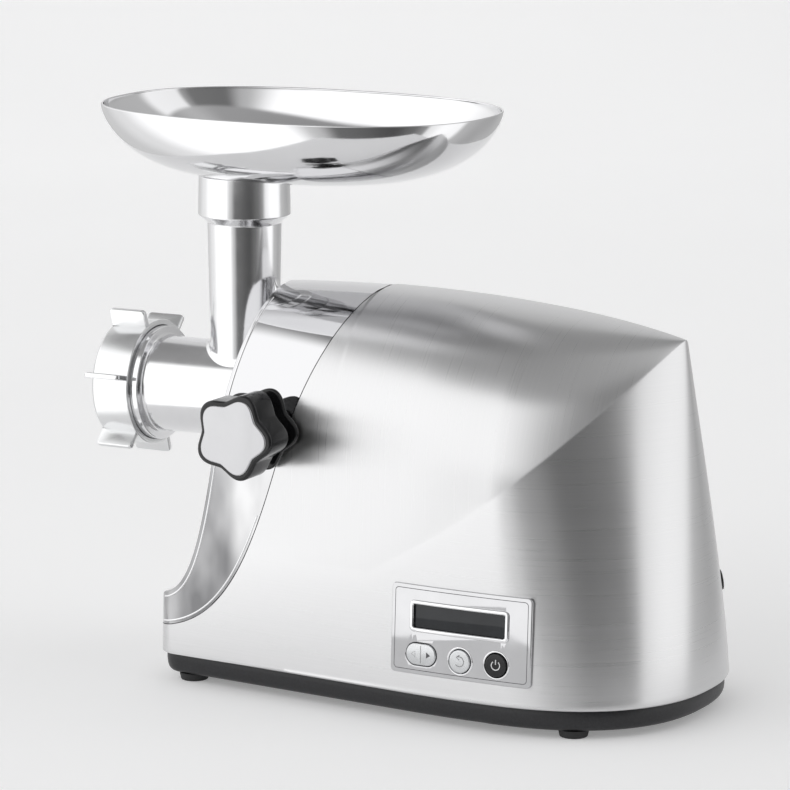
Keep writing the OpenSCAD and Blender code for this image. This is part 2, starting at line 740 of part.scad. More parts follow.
module rotor_shaft() piece("silver") {
    facing_x(stage_1_x - 0.5, 0, motor_z) cylinder(h = 262 - stage_1_x, r = shaft_r);
    facing_x(stage_1_x - 0.5, 0, motor_z)
        gear(stage_1[0], pinion_teeth, 8, direction(motor_place, first_place));
}

module commutator() piece("#b87333") facing_x(226, 0, motor_z) difference() {
    cylinder(h = 20, r = 12.6);
    translate([0, 0, -1]) cylinder(h = 30, r = shaft_r);
    for (a = [0 : 22.5 : 337.5]) rotate(a) translate([11.6, -0.3, -1]) cube([3, 0.6, 17]);
}

module cooling_fan() piece("#303438") facing_x(148, 0, motor_z) difference() {
    union() {
        cylinder(h = 1.6, r = 31);
        cylinder(h = 6, r = 9);
        for (a = [0 : 45 : 315]) rotate(a) translate([8, -0.7, 0.8]) cube([22, 1.4, 4.7]);
    }
    translate([0, 0, -1]) cylinder(h = 20, r = shaft_r);
}

module power_board() piece("#2c6b3f") {
    translate([262, -45, 24]) cube([50, 90, 1.8]);
    translate([268, -36, 25.8]) cube([20, 26, 14]);
    translate([292, 8, 25.8]) cylinder(h = 24, r = 8);
    translate([268, 22, 25.8]) cube([28, 14, 18]);
    for (x = [266, 308]) for (y = [-41, 41]) translate([x, y, pan_z + pan_floor]) cylinder(h = 16, r = 2.6);
}

// ---------- head ----------

barrel_front = ring_front_x + 5.4;
thread_r = 38.4;

module grinder_head() piece("#c9ccd0") difference() {
    union() {
        facing_x(-62, 0, axis_z) cylinder(h = 84, r1 = 32.3, r2 = barrel_r);
        facing_x(20, 0, axis_z) cylinder(h = 57, r = barrel_r);
        facing_x(barrel_front, 0, axis_z) cylinder(h = -62 - barrel_front, r = thread_r);
        translate([0, 0, axis_z]) cylinder(h = 115, r1 = 23.3, r2 = 25);
        translate([0, 0, axis_z + 114]) cylinder(h = 6, r1 = 25, r2 = 31);
        translate([0, 0, axis_z + 119.4]) cylinder(h = collar_top - axis_z - 119.4, r1 = 31, r2 = 30.4);
        side_rib();
    }
    facing_x(barrel_front - 1, 0, axis_z) cylinder(h = 71.5 - barrel_front, r = barrel_bore);
    facing_x(barrel_front - 1, 0, axis_z) cylinder(h = 6, r = plate_r + clear_gap);
    facing_x(60, 0, axis_z) cylinder(h = 20, r = 10);
    translate([0, 0, axis_z]) cylinder(h = 200, r = feed_bore);
    translate([0, 0, collar_top - 24]) cylinder(h = 30, r = 27.5);
}

// Rib between the feed tube and the barrel, with a rounded top
module side_rib() {
    translate([0, 3, 0]) rotate([90, 0, 0]) linear_extrude(6) {
        translate([15, axis_z + 20]) square([9, 48]);
        translate([15, axis_z + 42]) square([13, 26]);
        translate([15, axis_z + 68]) intersection() {
            circle(13);
            square(13);
        }
    }
}

module head_bush() piece("#b08d57") facing_x(71, 0, axis_z) tube(6, 10, 7 + running_gap);

module feed_screw() piece("#b9bcc0") {
    facing_x(-76, 0, axis_z)
        linear_extrude(142, twist = -1900, slices = 76, convexity = 6, $fn = 0) screw_section();
    facing_x(-88.6, 0, axis_z) cylinder(h = 14, r = 4.4);
    facing_x(-84, -4, axis_z - 4) cube([8, 8, 9]);
    facing_x(65, 0, axis_z) cylinder(h = 16.5, r = 7);
    facing_x(80, -square_drive / 2, axis_z - square_drive / 2) cube([square_drive, square_drive, 14]);
}

// Core and one flight of the feed screw
module screw_section() {
    polygon([for (t = [-75, -50, -30, -15, 0, 15, 30, 50, 75, 130, 180, 230]) let(w = (1 + cos(t)) / 2)
        (10.5 + 16.3 * pow(w, 5)) * [cos(t), sin(t)]]);
}

knife_x = -85.8;

module cross_knife() piece("silver") facing_x(knife_x, 0, axis_z) difference() {
    union() {
        cylinder(h = 8, r = 10.4);
        for (a = [0 : 90 : 270]) rotate(a) linear_extrude(4)
            polygon([[0, -5], [24, -3], [26.5, 1], [24, 5], [0, 5]]);
    }
    translate([-4.2, -4.2, 1.6]) cube([8.4, 8.4, 20]);
    translate([0, 0, -1]) cylinder(h = 20, r = 4.6);
}

plate_x = ring_front_x + 3.9;

module grinding_plate() piece("#a9adb2") facing_x(plate_x, 0, axis_z) difference() {
    cylinder(h = 6.2, r = plate_r);
    translate([0, 0, -1]) cylinder(h = 20, r = 4.6);
    for (ring = [[9, 8], [14.5, 13], [20, 18], [25.2, 23]]) for (k = [0 : ring[1] - 1])
        rotate(k * 360 / ring[1]) translate([ring[0], 0, -1]) cylinder(h = 20, r = 2.1, $fn = 20);
}

module ring_nut() piece("#c3c6ca") difference() {
    union() {
        facing_x(ring_front_x, 0, axis_z) cylinder(h = 2, r1 = 39.4, r2 = 41);
        facing_x(ring_front_x + 2, 0, axis_z) cylinder(h = 27.1, r1 = 41, r2 = ring_r);
        for (k = [0 : 5]) facing_x(0, 0, axis_z) rotate(k * 60 - 12) nut_lug();
    }
    facing_x(ring_front_x - 1, 0, axis_z) cylinder(h = 20, r = 28);
    facing_x(plate_x - 0.1, 0, axis_z) cylinder(h = 60, r = thread_r + 0.35);
}

// One grip lug: a plate along the ring with round outer corners
module nut_lug() {
    rotate([90, 0, 0]) translate([0, 0, -1.8]) linear_extrude(3.6) hull() {
        translate([38, ring_front_x + 0.8]) square([1, 27.6]);
        translate([50.4, ring_front_x + 4]) circle(3.2);
        translate([50.4, ring_front_x + 25.2]) circle(3.2);
    }
}

// ---------- tray ----------

tray_foot_z = collar_top + 2;
neck_r = 27.2;
neck_bore = 24.5;

// Height of the dish above its floor at the fraction f of the way from the centre to the rim
function dish_height(f) = (tray_rim_z - tray_foot_z) * (1 - pow(1 - pow(f, 4.2), 0.667));

// Ring of the dish at the fraction f, moved out and down by the wall thickness
function dish_ring(f, wall) = [for (t = [0 : 6 : 354])
    let(p = super_point(tray_half_x * f - tray_wall + wall, tray_half_y * f - tray_wall + wall,
        2 + (tray_fullness - 2) * f, t))
    [tray_shift + p[0], p[1], tray_foot_z + dish_height(f) - wall]];

module dish_block(wall) {
    steps = [0.45, 0.58, 0.68, 0.76, 0.83, 0.89, 0.935, 0.97, 0.99, 1];
    rim = dish_ring(1, wall);
    loft(concat([for (f = steps) dish_ring(f, wall)],
        [[for (p = rim) [p[0], p[1], tray_rim_z + (wall > 0 ? 0 : 20)]]]));
}

module hopper_tray() piece("gainsboro") one_shell() difference() {
    union() {
        dish_block(tray_wall);
        translate([0, 0, tray_foot_z - tray_wall]) cylinder(h = tray_wall + 0.4, r = 30);
    }
    dish_block(0);
    translate([0, 0, collar_top - 10]) cylinder(h = 40, r = neck_r);
}

module tray_neck() piece("silver") translate([0, 0, collar_top - 22]) tube(24, neck_r, neck_bore);

housing_shell();
front_cover();
base_pan();
rubber_feet();
foot_screws();
base_screws();
control_bezel();
display_window();
display_module();
control_board();
speed_rocker();
reverse_button();
power_button();
head_socket();
socket_screws();
knob_collar();
clamp_pad();
clamp_screw();
knob_body();
knob_cap();
gearbox_case();
gearbox_cover();
gearbox_screws();
gear_axles();
gear_bushes();
motor_stator();
field_coils();
motor_end_plates();
motor_bolts();
motor_bearings();
brush_holders();
motor_cradle();
rotor_core();
rotor_shaft();
commutator();
cooling_fan();
first_gear();
second_gear();
output_gear();
drive_shaft();
power_board();
cord_inlet();
reset_bezel();
reset_button();
grinder_head();
head_bush();
feed_screw();
cross_knife();
grinding_plate();
ring_nut();
hopper_tray();
tray_neck();
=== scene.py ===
import json
from math import acos, asin, atan, atan2, copysign, cos, exp, hypot, pi, radians, sin, sqrt, tan

import bmesh
import bpy
import numpy as np
from mathutils import Matrix, Vector


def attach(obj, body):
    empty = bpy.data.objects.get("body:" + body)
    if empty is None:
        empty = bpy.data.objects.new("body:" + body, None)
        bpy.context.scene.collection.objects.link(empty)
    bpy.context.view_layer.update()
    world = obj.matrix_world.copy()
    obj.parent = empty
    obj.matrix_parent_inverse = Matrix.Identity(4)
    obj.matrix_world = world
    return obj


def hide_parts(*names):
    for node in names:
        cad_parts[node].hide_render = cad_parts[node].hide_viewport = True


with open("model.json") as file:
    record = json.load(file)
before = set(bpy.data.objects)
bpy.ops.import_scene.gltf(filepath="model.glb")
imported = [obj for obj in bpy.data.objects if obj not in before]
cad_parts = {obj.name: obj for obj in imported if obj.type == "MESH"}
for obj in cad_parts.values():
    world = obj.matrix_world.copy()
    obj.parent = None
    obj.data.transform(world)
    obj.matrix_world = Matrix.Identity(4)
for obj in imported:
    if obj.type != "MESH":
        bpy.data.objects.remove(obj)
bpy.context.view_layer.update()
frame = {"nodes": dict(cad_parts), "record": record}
record = frame["record"]
mounts = {m["name"]: m for m in record["mounts"]}
slot_of = {s["node"]: s["material_slot"] for s in record["subparts"]}

# Shapes are worked out in millimetres from the feed tube's axis, with X along the barrel towards the motor
# and Z up from the table, and are moved into the shared frame by to_frame().
ORIGIN = np.array([mounts["tray_throat"]["pos_m"][0], mounts["tray_throat"]["pos_m"][1], 0.0])
AXIS_Z = 185.0


def to_frame(points):
    return np.asarray(points, float) / 1000.0 + ORIGIN


# ---- materials


# The noise hardly leaves this range
NOISE_LOW, NOISE_HIGH = 0.3, 0.7
CLEAR_IOR = 1.45


def node(tree, kind, **values):
    """Adds a shader node; values are inputs or properties."""
    n = tree.nodes.new(kind)
    for key, value in values.items():
        if key in n.inputs:
            n.inputs[key].default_value = value
        else:
            setattr(n, key, value)
    return n


def streaks(tree, scale, detail=3.0, rough=0.6):
    """Noise over the object, stretched by scale, as a 0..1 value."""
    coord = node(tree, "ShaderNodeTexCoord")
    mapping = node(tree, "ShaderNodeMapping")
    mapping.inputs["Scale"].default_value = scale
    noise = node(tree, "ShaderNodeTexNoise")
    noise.inputs["Scale"].default_value = 1.0
    noise.inputs["Detail"].default_value = detail
    noise.inputs["Roughness"].default_value = rough
    tree.links.new(coord.outputs["Object"], mapping.inputs["Vector"])
    tree.links.new(mapping.outputs["Vector"], noise.inputs["Vector"])
    return noise.outputs["Fac"]


def spread(tree, fac, low, high):
    """Spreads the middle of the noise over a range of values."""
    m = node(tree, "ShaderNodeMapRange")
    m.inputs["From Min"].default_value = NOISE_LOW
    m.inputs["From Max"].default_value = NOISE_HIGH
    m.inputs["To Min"].default_value = low
    m.inputs["To Max"].default_value = high
    tree.links.new(fac, m.inputs["Value"])
    return m.outputs["Result"]


def tint(tree, fac, dark, light):
    """Spreads the middle of the noise between two colours."""
    ramp = node(tree, "ShaderNodeValToRGB")
    for element, place, color in zip(ramp.color_ramp.elements, (NOISE_LOW, NOISE_HIGH), (dark, light)):
        element.position = place
        element.color = (*color, 1)
    tree.links.new(fac, ramp.inputs["Fac"])
    return ramp.outputs["Color"]


def relief(tree, bsdf, fac, strength, depth):
    """Bump from a noise value."""
    b = node(tree, "ShaderNodeBump")
    b.inputs["Strength"].default_value = strength
    b.inputs["Distance"].default_value = depth
    tree.links.new(fac, b.inputs["Height"])
    tree.links.new(b.outputs["Normal"], bsdf.inputs["Normal"])


def blank(name):
    """A new node material, its tree and its main shader."""
    m = bpy.data.materials.new(name)
    m.use_nodes = True
    return m, m.node_tree, m.node_tree.nodes["Principled BSDF"]


def material(name, color, metallic, roughness, grain, shade, rough_shade, bump=0.0, specular=0.5):
    """Plain material with a noise of one scale (grain) in its colour, roughness and relief."""
    m, tree, bsdf = blank(name)
    fac = streaks(tree, (grain,) * 3 if isinstance(grain, (int, float)) else grain)
    light = [min(1.0, c * (1 + shade)) for c in color]
    dark = [c * (1 - shade) for c in color]
    tree.links.new(tint(tree, fac, dark, light), bsdf.inputs["Base Color"])
    low, high = max(0.01, roughness - rough_shade), roughness + rough_shade
    tree.links.new(spread(tree, fac, low, high), bsdf.inputs["Roughness"])
    bsdf.inputs["Metallic"].default_value = metallic
    bsdf.inputs["IOR"].default_value = CLEAR_IOR
    bsdf.inputs["Specular IOR Level"].default_value = specular
    if bump:
        relief(tree, bsdf, fac, bump, 0.0004)
    return m


def brushed_steel():
    """Sheet steel, brushed level round the walls and across the roof, where the grain value is 1."""
    m, tree, bsdf = blank("brushed_steel")
    grain = node(tree, "ShaderNodeAttribute")
    grain.attribute_name = "grain"
    level = streaks(tree, (7, 7, 2600))
    across = streaks(tree, (2600, 7, 7))
    mix = node(tree, "ShaderNodeMix")
    tree.links.new(grain.outputs["Fac"], mix.inputs["Factor"])
    tree.links.new(level, mix.inputs["A"])
    tree.links.new(across, mix.inputs["B"])
    fac = mix.outputs["Result"]
    tree.links.new(tint(tree, fac, (0.655, 0.655, 0.66), (0.685, 0.685, 0.69)), bsdf.inputs["Base Color"])
    tree.links.new(spread(tree, fac, 0.27, 0.33), bsdf.inputs["Roughness"])
    bsdf.inputs["Metallic"].default_value = 1.0
    bsdf.inputs["Anisotropic"].default_value = 0.75
    tz = node(tree, "ShaderNodeTangent", axis="Z")
    tx = node(tree, "ShaderNodeTangent", axis="X")
    turn = node(tree, "ShaderNodeMix", data_type="VECTOR")
    tree.links.new(grain.outputs["Fac"], turn.inputs["Factor"])
    tree.links.new(tz.outputs["Tangent"], turn.inputs[4])
    tree.links.new(tx.outputs["Tangent"], turn.inputs[5])
    tree.links.new(turn.outputs[1], bsdf.inputs["Tangent"])
    bsdf.inputs["Anisotropic Rotation"].default_value = 0.25
    relief(tree, bsdf, fac, 0.03, 0.0001)
    return m


def cover_chrome_painted_reflection():
    """Chrome of the front cover, greyer, with a painted reflection: cloudy dark and light grey in its colour
    towards its toe.
    """
    m = material("cover_chrome_painted_reflection", (0.80, 0.80, 0.81), 1.0, 0.045, 20, 0.01, 0.012)
    tree = m.node_tree
    bsdf = tree.nodes["Principled BSDF"]
    coord = node(tree, "ShaderNodeTexCoord")
    axes = node(tree, "ShaderNodeSeparateXYZ")
    tree.links.new(coord.outputs["Object"], axes.inputs[0])
    height = node(tree, "ShaderNodeMapRange", interpolation_type="SMOOTHSTEP")
    height.inputs["From Min"].default_value = 0.125
    height.inputs["From Max"].default_value = 0.175
    tree.links.new(axes.outputs["Z"], height.inputs["Value"])
    # painted reflection: cloudy grey in the colour low on the cover, fading out between 125 and 175 mm up
    painted_reflection = tint(tree, streaks(tree, (26, 26, 12), 2.5, 0.5), (0.17, 0.17, 0.175), (0.66, 0.66, 0.665))
    mix = node(tree, "ShaderNodeMix", data_type="RGBA")
    mix.inputs[7].default_value = (0.64, 0.64, 0.65, 1)
    tree.links.new(height.outputs["Result"], mix.inputs[0])
    tree.links.new(painted_reflection, mix.inputs[6])
    tree.links.new(mix.outputs[2], bsdf.inputs["Base Color"])
    return m


# colour, metallic, roughness, scale of the noise, share of it in the colour and in the roughness, relief
PAINTS = {
    "chrome": ((0.78, 0.78, 0.79), 1.0, 0.045, 20, 0.01, 0.012),
    "cast_aluminium": ((0.78, 0.78, 0.79), 1.0, 0.15, 60, 0.02, 0.03, 0.01),
    "satin_aluminium": ((0.76, 0.765, 0.77), 1.0, 0.24, 50, 0.02, 0.03),
    "tray_metal": ((0.72, 0.72, 0.73), 1.0, 0.09, 30, 0.015, 0.02),
    "black_plastic": ((0.018, 0.018, 0.02), 0.0, 0.42, 700, 0.3, 0.06, 0.08),
    "gloss_black": ((0.010, 0.010, 0.011), 0.0, 0.16, 80, 0.3, 0.03),
    "rubber": ((0.025, 0.025, 0.026), 0.0, 0.7, 500, 0.3, 0.08, 0.1),
    "screw_steel": ((0.45, 0.45, 0.46), 1.0, 0.35, 300, 0.1, 0.08),
    "display_glass": ((0.015, 0.017, 0.02), 0.0, 0.06, 50, 0.2, 0.02),
    "lcd": ((0.16, 0.18, 0.16), 0.0, 0.3, 200, 0.1, 0.05),
    "board": ((0.02, 0.12, 0.05), 0.0, 0.45, 150, 0.2, 0.08),
    "silver_button": ((0.62, 0.63, 0.64), 0.9, 0.25, 120, 0.04, 0.04),
    "gear_steel": ((0.50, 0.50, 0.51), 1.0, 0.33, 150, 0.08, 0.08),
    "gear_nylon": ((0.75, 0.73, 0.66), 0.0, 0.45, 150, 0.04, 0.06),
    "brass": ((0.72, 0.53, 0.28), 1.0, 0.3, 150, 0.06, 0.08),
    "lamination": ((0.30, 0.30, 0.31), 1.0, 0.45, (900, 20, 20), 0.2, 0.1, 0.2),
    "copper": ((0.72, 0.36, 0.20), 1.0, 0.32, (20, 600, 600), 0.15, 0.08, 0.2),
    "blade_steel": ((0.58, 0.58, 0.59), 1.0, 0.24, 200, 0.05, 0.06),
    "panel_chrome": ((0.56, 0.56, 0.57), 1.0, 0.06, 24, 0.05, 0.02),
    "knob_satin": ((0.52, 0.52, 0.53), 1.0, 0.30, 40, 0.04, 0.03, 0.01),
    # near-black colour of the sheets seen in the gaps: painted shade of the gaps
    "gap_shade": ((0.03, 0.03, 0.032), 0.0, 0.5, 300, 0.2, 0.1),
    # dark print on the rocker, and painted shade of the groove round the panel
    "dark_print_and_groove_shade": ((0.10, 0.10, 0.105), 0.2, 0.4, 300, 0.1, 0.05),
    "mark_grey": ((0.22, 0.22, 0.225), 0.3, 0.4, 300, 0.1, 0.05),
    "mark_light": ((0.75, 0.75, 0.76), 0.0, 0.4, 300, 0.05, 0.05),
}
MATERIALS = {name: material(name, *values) for name, values in PAINTS.items()}
MATERIALS["brushed_steel"] = brushed_steel()
MATERIALS["cover_chrome_painted_reflection"] = cover_chrome_painted_reflection()

# ---- mesh tools


def finish_mesh(obj, angle):
    """Smooth shading up to an angle; flat end caps keep their own normals."""
    obj.data.polygons.foreach_set("use_smooth", [len(p.vertices) <= 8 for p in obj.data.polygons])
    obj.data.set_sharp_from_angle(angle=radians(angle))
    obj.data.update()


def add(name, obj, body, slot, replaces=(), paint=None):
    """Names a piece, paints it with its own paint or its slot's, ties it to its body and hides the CAD nodes it
    replaces.
    """
    obj.name = name
    obj.data.materials.append(MATERIALS[paint or slot])
    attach(obj, body)
    if replaces:
        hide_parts(*replaces)
    return obj


def link_object(name, data):
    obj = bpy.data.objects.new(name, data)
    bpy.context.scene.collection.objects.link(obj)
    return obj


def weld(mesh, outward=True):
    """Joins points that coincide and turns the faces outwards."""
    b = bmesh.new()
    b.from_mesh(mesh)
    bmesh.ops.remove_doubles(b, verts=b.verts, dist=2e-6)
    if outward:
        bmesh.ops.recalc_face_normals(b, faces=b.faces)
    b.to_mesh(mesh)
    b.free()
    mesh.update()


def mesh_object(name, points, faces, angle=35.0, outward=True, matrix=None):
    """A welded, smoothly shaded object; the points are in millimetres, moved by the matrix."""
    points = np.asarray(points, float)
    if matrix is not None:
        m = np.array(matrix)
        points = points @ m[:3, :3].T + m[:3, 3]
    mesh = bpy.data.meshes.new(name)
    mesh.from_pydata([tuple(p) for p in to_frame(points)], [], faces)
    weld(mesh, outward)
    obj = link_object(name, mesh)
    finish_mesh(obj, angle)
    return obj


def ring_faces(rows, count, caps):
    """Faces between closed rings of points that follow each other."""
    faces = []
    for r in range(rows - 1):
        for c in range(count):
            a, b = r * count + c, r * count + (c + 1) % count
            faces.append((a, b, b + count, a + count))
    if caps[0]:
        faces.append(tuple(range(count - 1, -1, -1)))
    if caps[1]:
        faces.append(tuple((rows - 1) * count + c for c in range(count)))
    return faces


def loft(name, rings, caps=(True, True), angle=35.0, matrix=None):
    """A surface through closed rings of points, with or without caps at its two ends."""
    rings = np.asarray(rings, float)
    rows, count = rings.shape[:2]
    return mesh_object(name, rings.reshape(-1, 3), ring_faces(rows, count, caps), angle, True, matrix)


def rounded(points, radii, steps=5, closed=False):
    """A line of 2-D points with its corners rounded by one radius for each point."""
    pts = [np.array(p, float) for p in points]
    n = len(pts)
    out = []
    for i, p in enumerate(pts):
        if not closed and i in (0, n - 1) or radii[i] <= 0:
            out.append(p)
            continue
        a, b = pts[i - 1] - p, pts[(i + 1) % n] - p
        la, lb = np.linalg.norm(a), np.linalg.norm(b)
        a, b = a / la, b / lb
        bend = acos(max(-1, min(1, float(a @ b))))
        if abs(bend - pi) < 1e-3:
            out.append(p)
            continue
        cut = min(radii[i] / tan(bend / 2), 0.49 * la, 0.49 * lb)
        for k in range(steps + 1):
            t = k / steps
            out.append((1 - t) ** 2 * (p + a * cut) + 2 * t * (1 - t) * p + t * t * (p + b * cut))
    return np.array(out)


def lathe(name, profile, matrix, closed=False, steps=128, angle=35.0):
    """Turns a profile of (radius, height) about local Z: a closed one makes a ring, an open one a body."""
    profile = np.asarray(profile, float)
    if closed:
        profile = np.vstack([profile, profile[:1]])
    t = np.linspace(0, 2 * pi, steps, endpoint=False)
    rings = [[(r * cos(a), r * sin(a), h) for a in t] for r, h in profile]
    caps = (False, False) if closed else (profile[0][0] > 1e-6, profile[-1][0] > 1e-6)
    return loft(name, rings, caps, angle, matrix)


def inset_outline(outline, d):
    """Moves a closed anticlockwise outline in by d."""
    outline = np.asarray(outline, float)
    step = np.roll(outline, -1, 0) - np.roll(outline, 1, 0)
    step /= np.linalg.norm(step, axis=1)[:, None]
    return outline + np.stack([-step[:, 1], step[:, 0]], 1) * d


def bar(name, outline, z0, z1, edge, matrix=None, steps=4, low_edge=None):
    """A prism on an outline, with rounded edges."""
    low = edge if low_edge is None else low_edge
    turns = [pi / 2 * k / steps for k in range(steps + 1)]
    rings = [[(x, y, z0 + low * (1 - sin(t))) for x, y in inset_outline(outline, low * (1 - cos(t)))]
             for t in turns[::-1]]
    rings += [[(x, y, z1 - edge * (1 - sin(t))) for x, y in inset_outline(outline, edge * (1 - cos(t)))]
              for t in turns]
    return loft(name, rings, (True, True), 40, matrix)


def round_rect(w, h, r, steps=10):
    """Anticlockwise outline with its lower left corner at the origin."""
    out = []
    for cx, cy, a0 in ((w - r, h - r, 0), (r, h - r, 90), (r, r, 180), (w - r, r, 270)):
        for k in range(steps + 1):
            a = radians(a0 + 90 * k / steps)
            out.append((cx + r * cos(a), cy + r * sin(a)))
    return np.array(out)


def oval(cx, cy, w, h, steps=24):
    """Anticlockwise outline of a slot round its centre."""
    out = []
    for s, a0 in ((1, -90), (-1, 90)):
        for k in range(steps + 1):
            a = radians(a0 + 180 * k / steps)
            out.append((cx + s * (w - h) / 2 + h / 2 * cos(a), cy + h / 2 * sin(a)))
    return np.array(out)


def circle(cx, cy, r, steps=64):
    return np.array([(cx + r * cos(a), cy + r * sin(a))
                     for a in np.linspace(0, 2 * pi, steps, endpoint=False)])


def plate(name, outlines, z0, z1, edge, matrix, angle=12.0):
    """A flat plate with holes (the outlines after the first) and bevelled edges."""
    curve = bpy.data.curves.new(name, "CURVE")
    curve.dimensions = "2D"
    curve.fill_mode = "BOTH"
    curve.extrude = (z1 - z0) / 2000 - edge / 1000
    curve.bevel_depth = edge / 1000
    curve.bevel_resolution = 5
    curve.offset = -edge / 1000
    for outline in outlines:
        spline = curve.splines.new("POLY")
        spline.points.add(len(outline) - 1)
        for p, (x, y) in zip(spline.points, outline):
            p.co = (x / 1000, y / 1000, 0, 1)
        spline.use_cyclic_u = True
    source = link_object(name, curve)
    bpy.context.view_layer.update()
    mesh = bpy.data.meshes.new_from_object(source)
    bpy.data.objects.remove(source)
    m = Matrix(matrix)
    for v in mesh.vertices:
        p = m @ Vector((v.co.x * 1000, v.co.y * 1000, v.co.z * 1000 + (z0 + z1) / 2))
        v.co = to_frame(p)
    obj = link_object(name, mesh)
    weld(mesh)
    finish_mesh(obj, angle)
    return obj


def wire(name, points, radius, matrix, cyclic=False):
    """A thin raised line through 2-D points, for symbols, and for grooves drawn as dark lines of painted shade."""
    pts = np.array([(x, y, 0.0) for x, y in points])
    n = len(pts)
    rings = []
    for i, p in enumerate(pts):
        ahead = pts[(i + 1) % n] if cyclic or i < n - 1 else p
        back = pts[i - 1] if cyclic or i > 0 else p
        d = (ahead - back) / np.linalg.norm(ahead - back)
        side = np.array([-d[1], d[0], 0.0])
        rings.append([p + radius * (side * cos(a) + np.array([0, 0, 1]) * sin(a) * 0.4)
                      for a in np.linspace(0, 2 * pi, 8, endpoint=False)])
    if cyclic:
        rings.append(rings[0])
    return loft(name, rings, (not cyclic, not cyclic), 60, matrix)


def along_x(x=0.0, y=0.0, z=AXIS_Z):
    """Local Z to machine X, local X to machine Y and local Y to machine Z."""
    return Matrix(((0, 0, 1, x), (1, 0, 0, y), (0, 1, 0, z), (0, 0, 0, 1)))


def upright(x=0.0, y=0.0, z=0.0):
    return Matrix.Translation((x, y, z))


# ---- housing surface

# Widest place, half width there, length of the rear end, fullness of its outline, and its loss upwards
WIDE_X, HALF, REAR, FULL, FULL_LOSS = 232.0, 103.6, 110.5, 2.33, 1.0
FRONT_X, CORNER, SKIRT, TIP_X = -27.0, 18.0, 19.0, 322.0
FLANK_SLOPE, FLANK_ROUND, SIDE_LEAN, LEAN_DELAY = 0.114, 60, 0.0005, 100
RIDGE_TOP, RIDGE_X, RIDGE_RADIUS, ARCH_RISE, ARCH_BULGE = 264.8, 110, 1150, 110, 1.8
# The crease is level up to FADE_X, then climbs to the tip; the arch's bulge ends at BULGE_END
FADE_X, CREASE_FOOT, CREASE_SLOPE, CREASE_POWER, BULGE_END, BULGE_FADE = 142, 94.4, 0.56, 3.2, 230, 60
COVER_FOOT = 37.0
# Side views of the edge between chrome and steel and of the chrome's front edge, as Bezier curves
STEEL_EDGE = np.array([[111, 268], [60, 160], [59, 38], [-31, COVER_FOOT]], float)
FRONT_EDGE = np.array([[36.3, 268], [14, 140], [11, 65], [-20.5, 60]], float)


def ridge(x):
    """Height of the roof's ridge."""
    return RIDGE_TOP - (x - RIDGE_X) ** 2 / (2 * RIDGE_RADIUS)


def delayed(w):
    """Grows slowly at first, so that the rear wall starts out upright."""
    return w * abs(w) / (abs(w) + LEAN_DELAY)


RISE = ridge(TIP_X) - SKIRT
REAR_LEAN = (1 - (TIP_X - WIDE_X) / REAR) / delayed(RISE)


def reach(z):
    """Length of the rounded rear end in plan at a height."""
    return REAR * (1 - REAR_LEAN * delayed(z - SKIRT))


def fullness(z):
    """Exponent of the rear end's outline in plan at a height."""
    return FULL - FULL_LOSS * (z - SKIRT) / RISE


def lean(z):
    """Share of the width that is left at a height."""
    return 1 - SIDE_LEAN * (z - SKIRT)


def base_half(x):
    """Half width of the flanks at the lower edge."""
    q = WIDE_X - x
    return HALF - FLANK_SLOPE * (q * q / (2 * FLANK_ROUND) if q < FLANK_ROUND else q - FLANK_ROUND / 2)


CORNER_X = FRONT_X + CORNER
CORNER_Y = base_half(CORNER_X) - CORNER


def wall_half(x, z):
    """Half width of the walls at a height."""
    if x > WIDE_X:
        n = fullness(z)
        half = HALF * max(0.0, 1 - ((x - WIDE_X) / reach(z)) ** n) ** (1 / n)
    elif x < CORNER_X:
        half = CORNER_Y + sqrt(max(0.0, CORNER ** 2 - (CORNER_X - max(x, FRONT_X)) ** 2))
    else:
        half = base_half(x)
    return half * lean(z)


def rear_point(angle, z, inset=0.0):
    """Point of the rear wall, with the angle running from the widest point (0) to the tip (90)."""
    a, n = radians(angle), fullness(z)
    return (WIDE_X + (reach(z) - inset) * sin(a) ** (2 / n),
            (HALF - inset) * max(0.0, cos(a)) ** (2 / n) * lean(z))


def crease_z(x):
    """Height of the crease between the walls and the roof."""
    if x < FADE_X:
        return CREASE_FOOT
    u, length = x - FADE_X, TIP_X - FADE_X
    climb = ridge(TIP_X) - CREASE_FOOT - CREASE_SLOPE * length
    return CREASE_FOOT + CREASE_SLOPE * u + climb * (u / length) ** CREASE_POWER


def ease(t):
    t = min(1.0, max(0.0, t))
    return t * t * (3 - 2 * t)


def arch_width(x):
    """Half width of the roof arch at its spring line, where the crease lies below it."""
    bulge = ARCH_BULGE * ease(x / FADE_X) * ease((BULGE_END - x) / BULGE_FADE)
    return wall_half(x, ridge(x) - ARCH_RISE) + bulge


def bezier(control, t):
    t = np.asarray(t, float)[:, None]
    return ((1 - t) ** 3 * control[0] + 3 * (1 - t) ** 2 * t * control[1]
            + 3 * (1 - t) * t * t * control[2] + t ** 3 * control[3])


def section_half(x, z):
    """Half width of the housing at a place and a height: wall, then arch."""
    x = min(x, TIP_X - 0.02)
    top = ridge(x)
    spring = top - ARCH_RISE
    zc = min(crease_z(x), top - 0.02)
    if z <= zc:
        return wall_half(x, z)
    yc = wall_half(x, zc)
    start = asin((zc - spring) / ARCH_RISE) if zc > spring else 0.0
    a = yc / cos(start) if zc > spring else arch_width(x)
    if z < spring:
        return yc + (a - yc) * (z - zc) / (spring - zc)
    return a * sqrt(max(0.0, 1 - (min(z - spring, ARCH_RISE) / ARCH_RISE) ** 2))


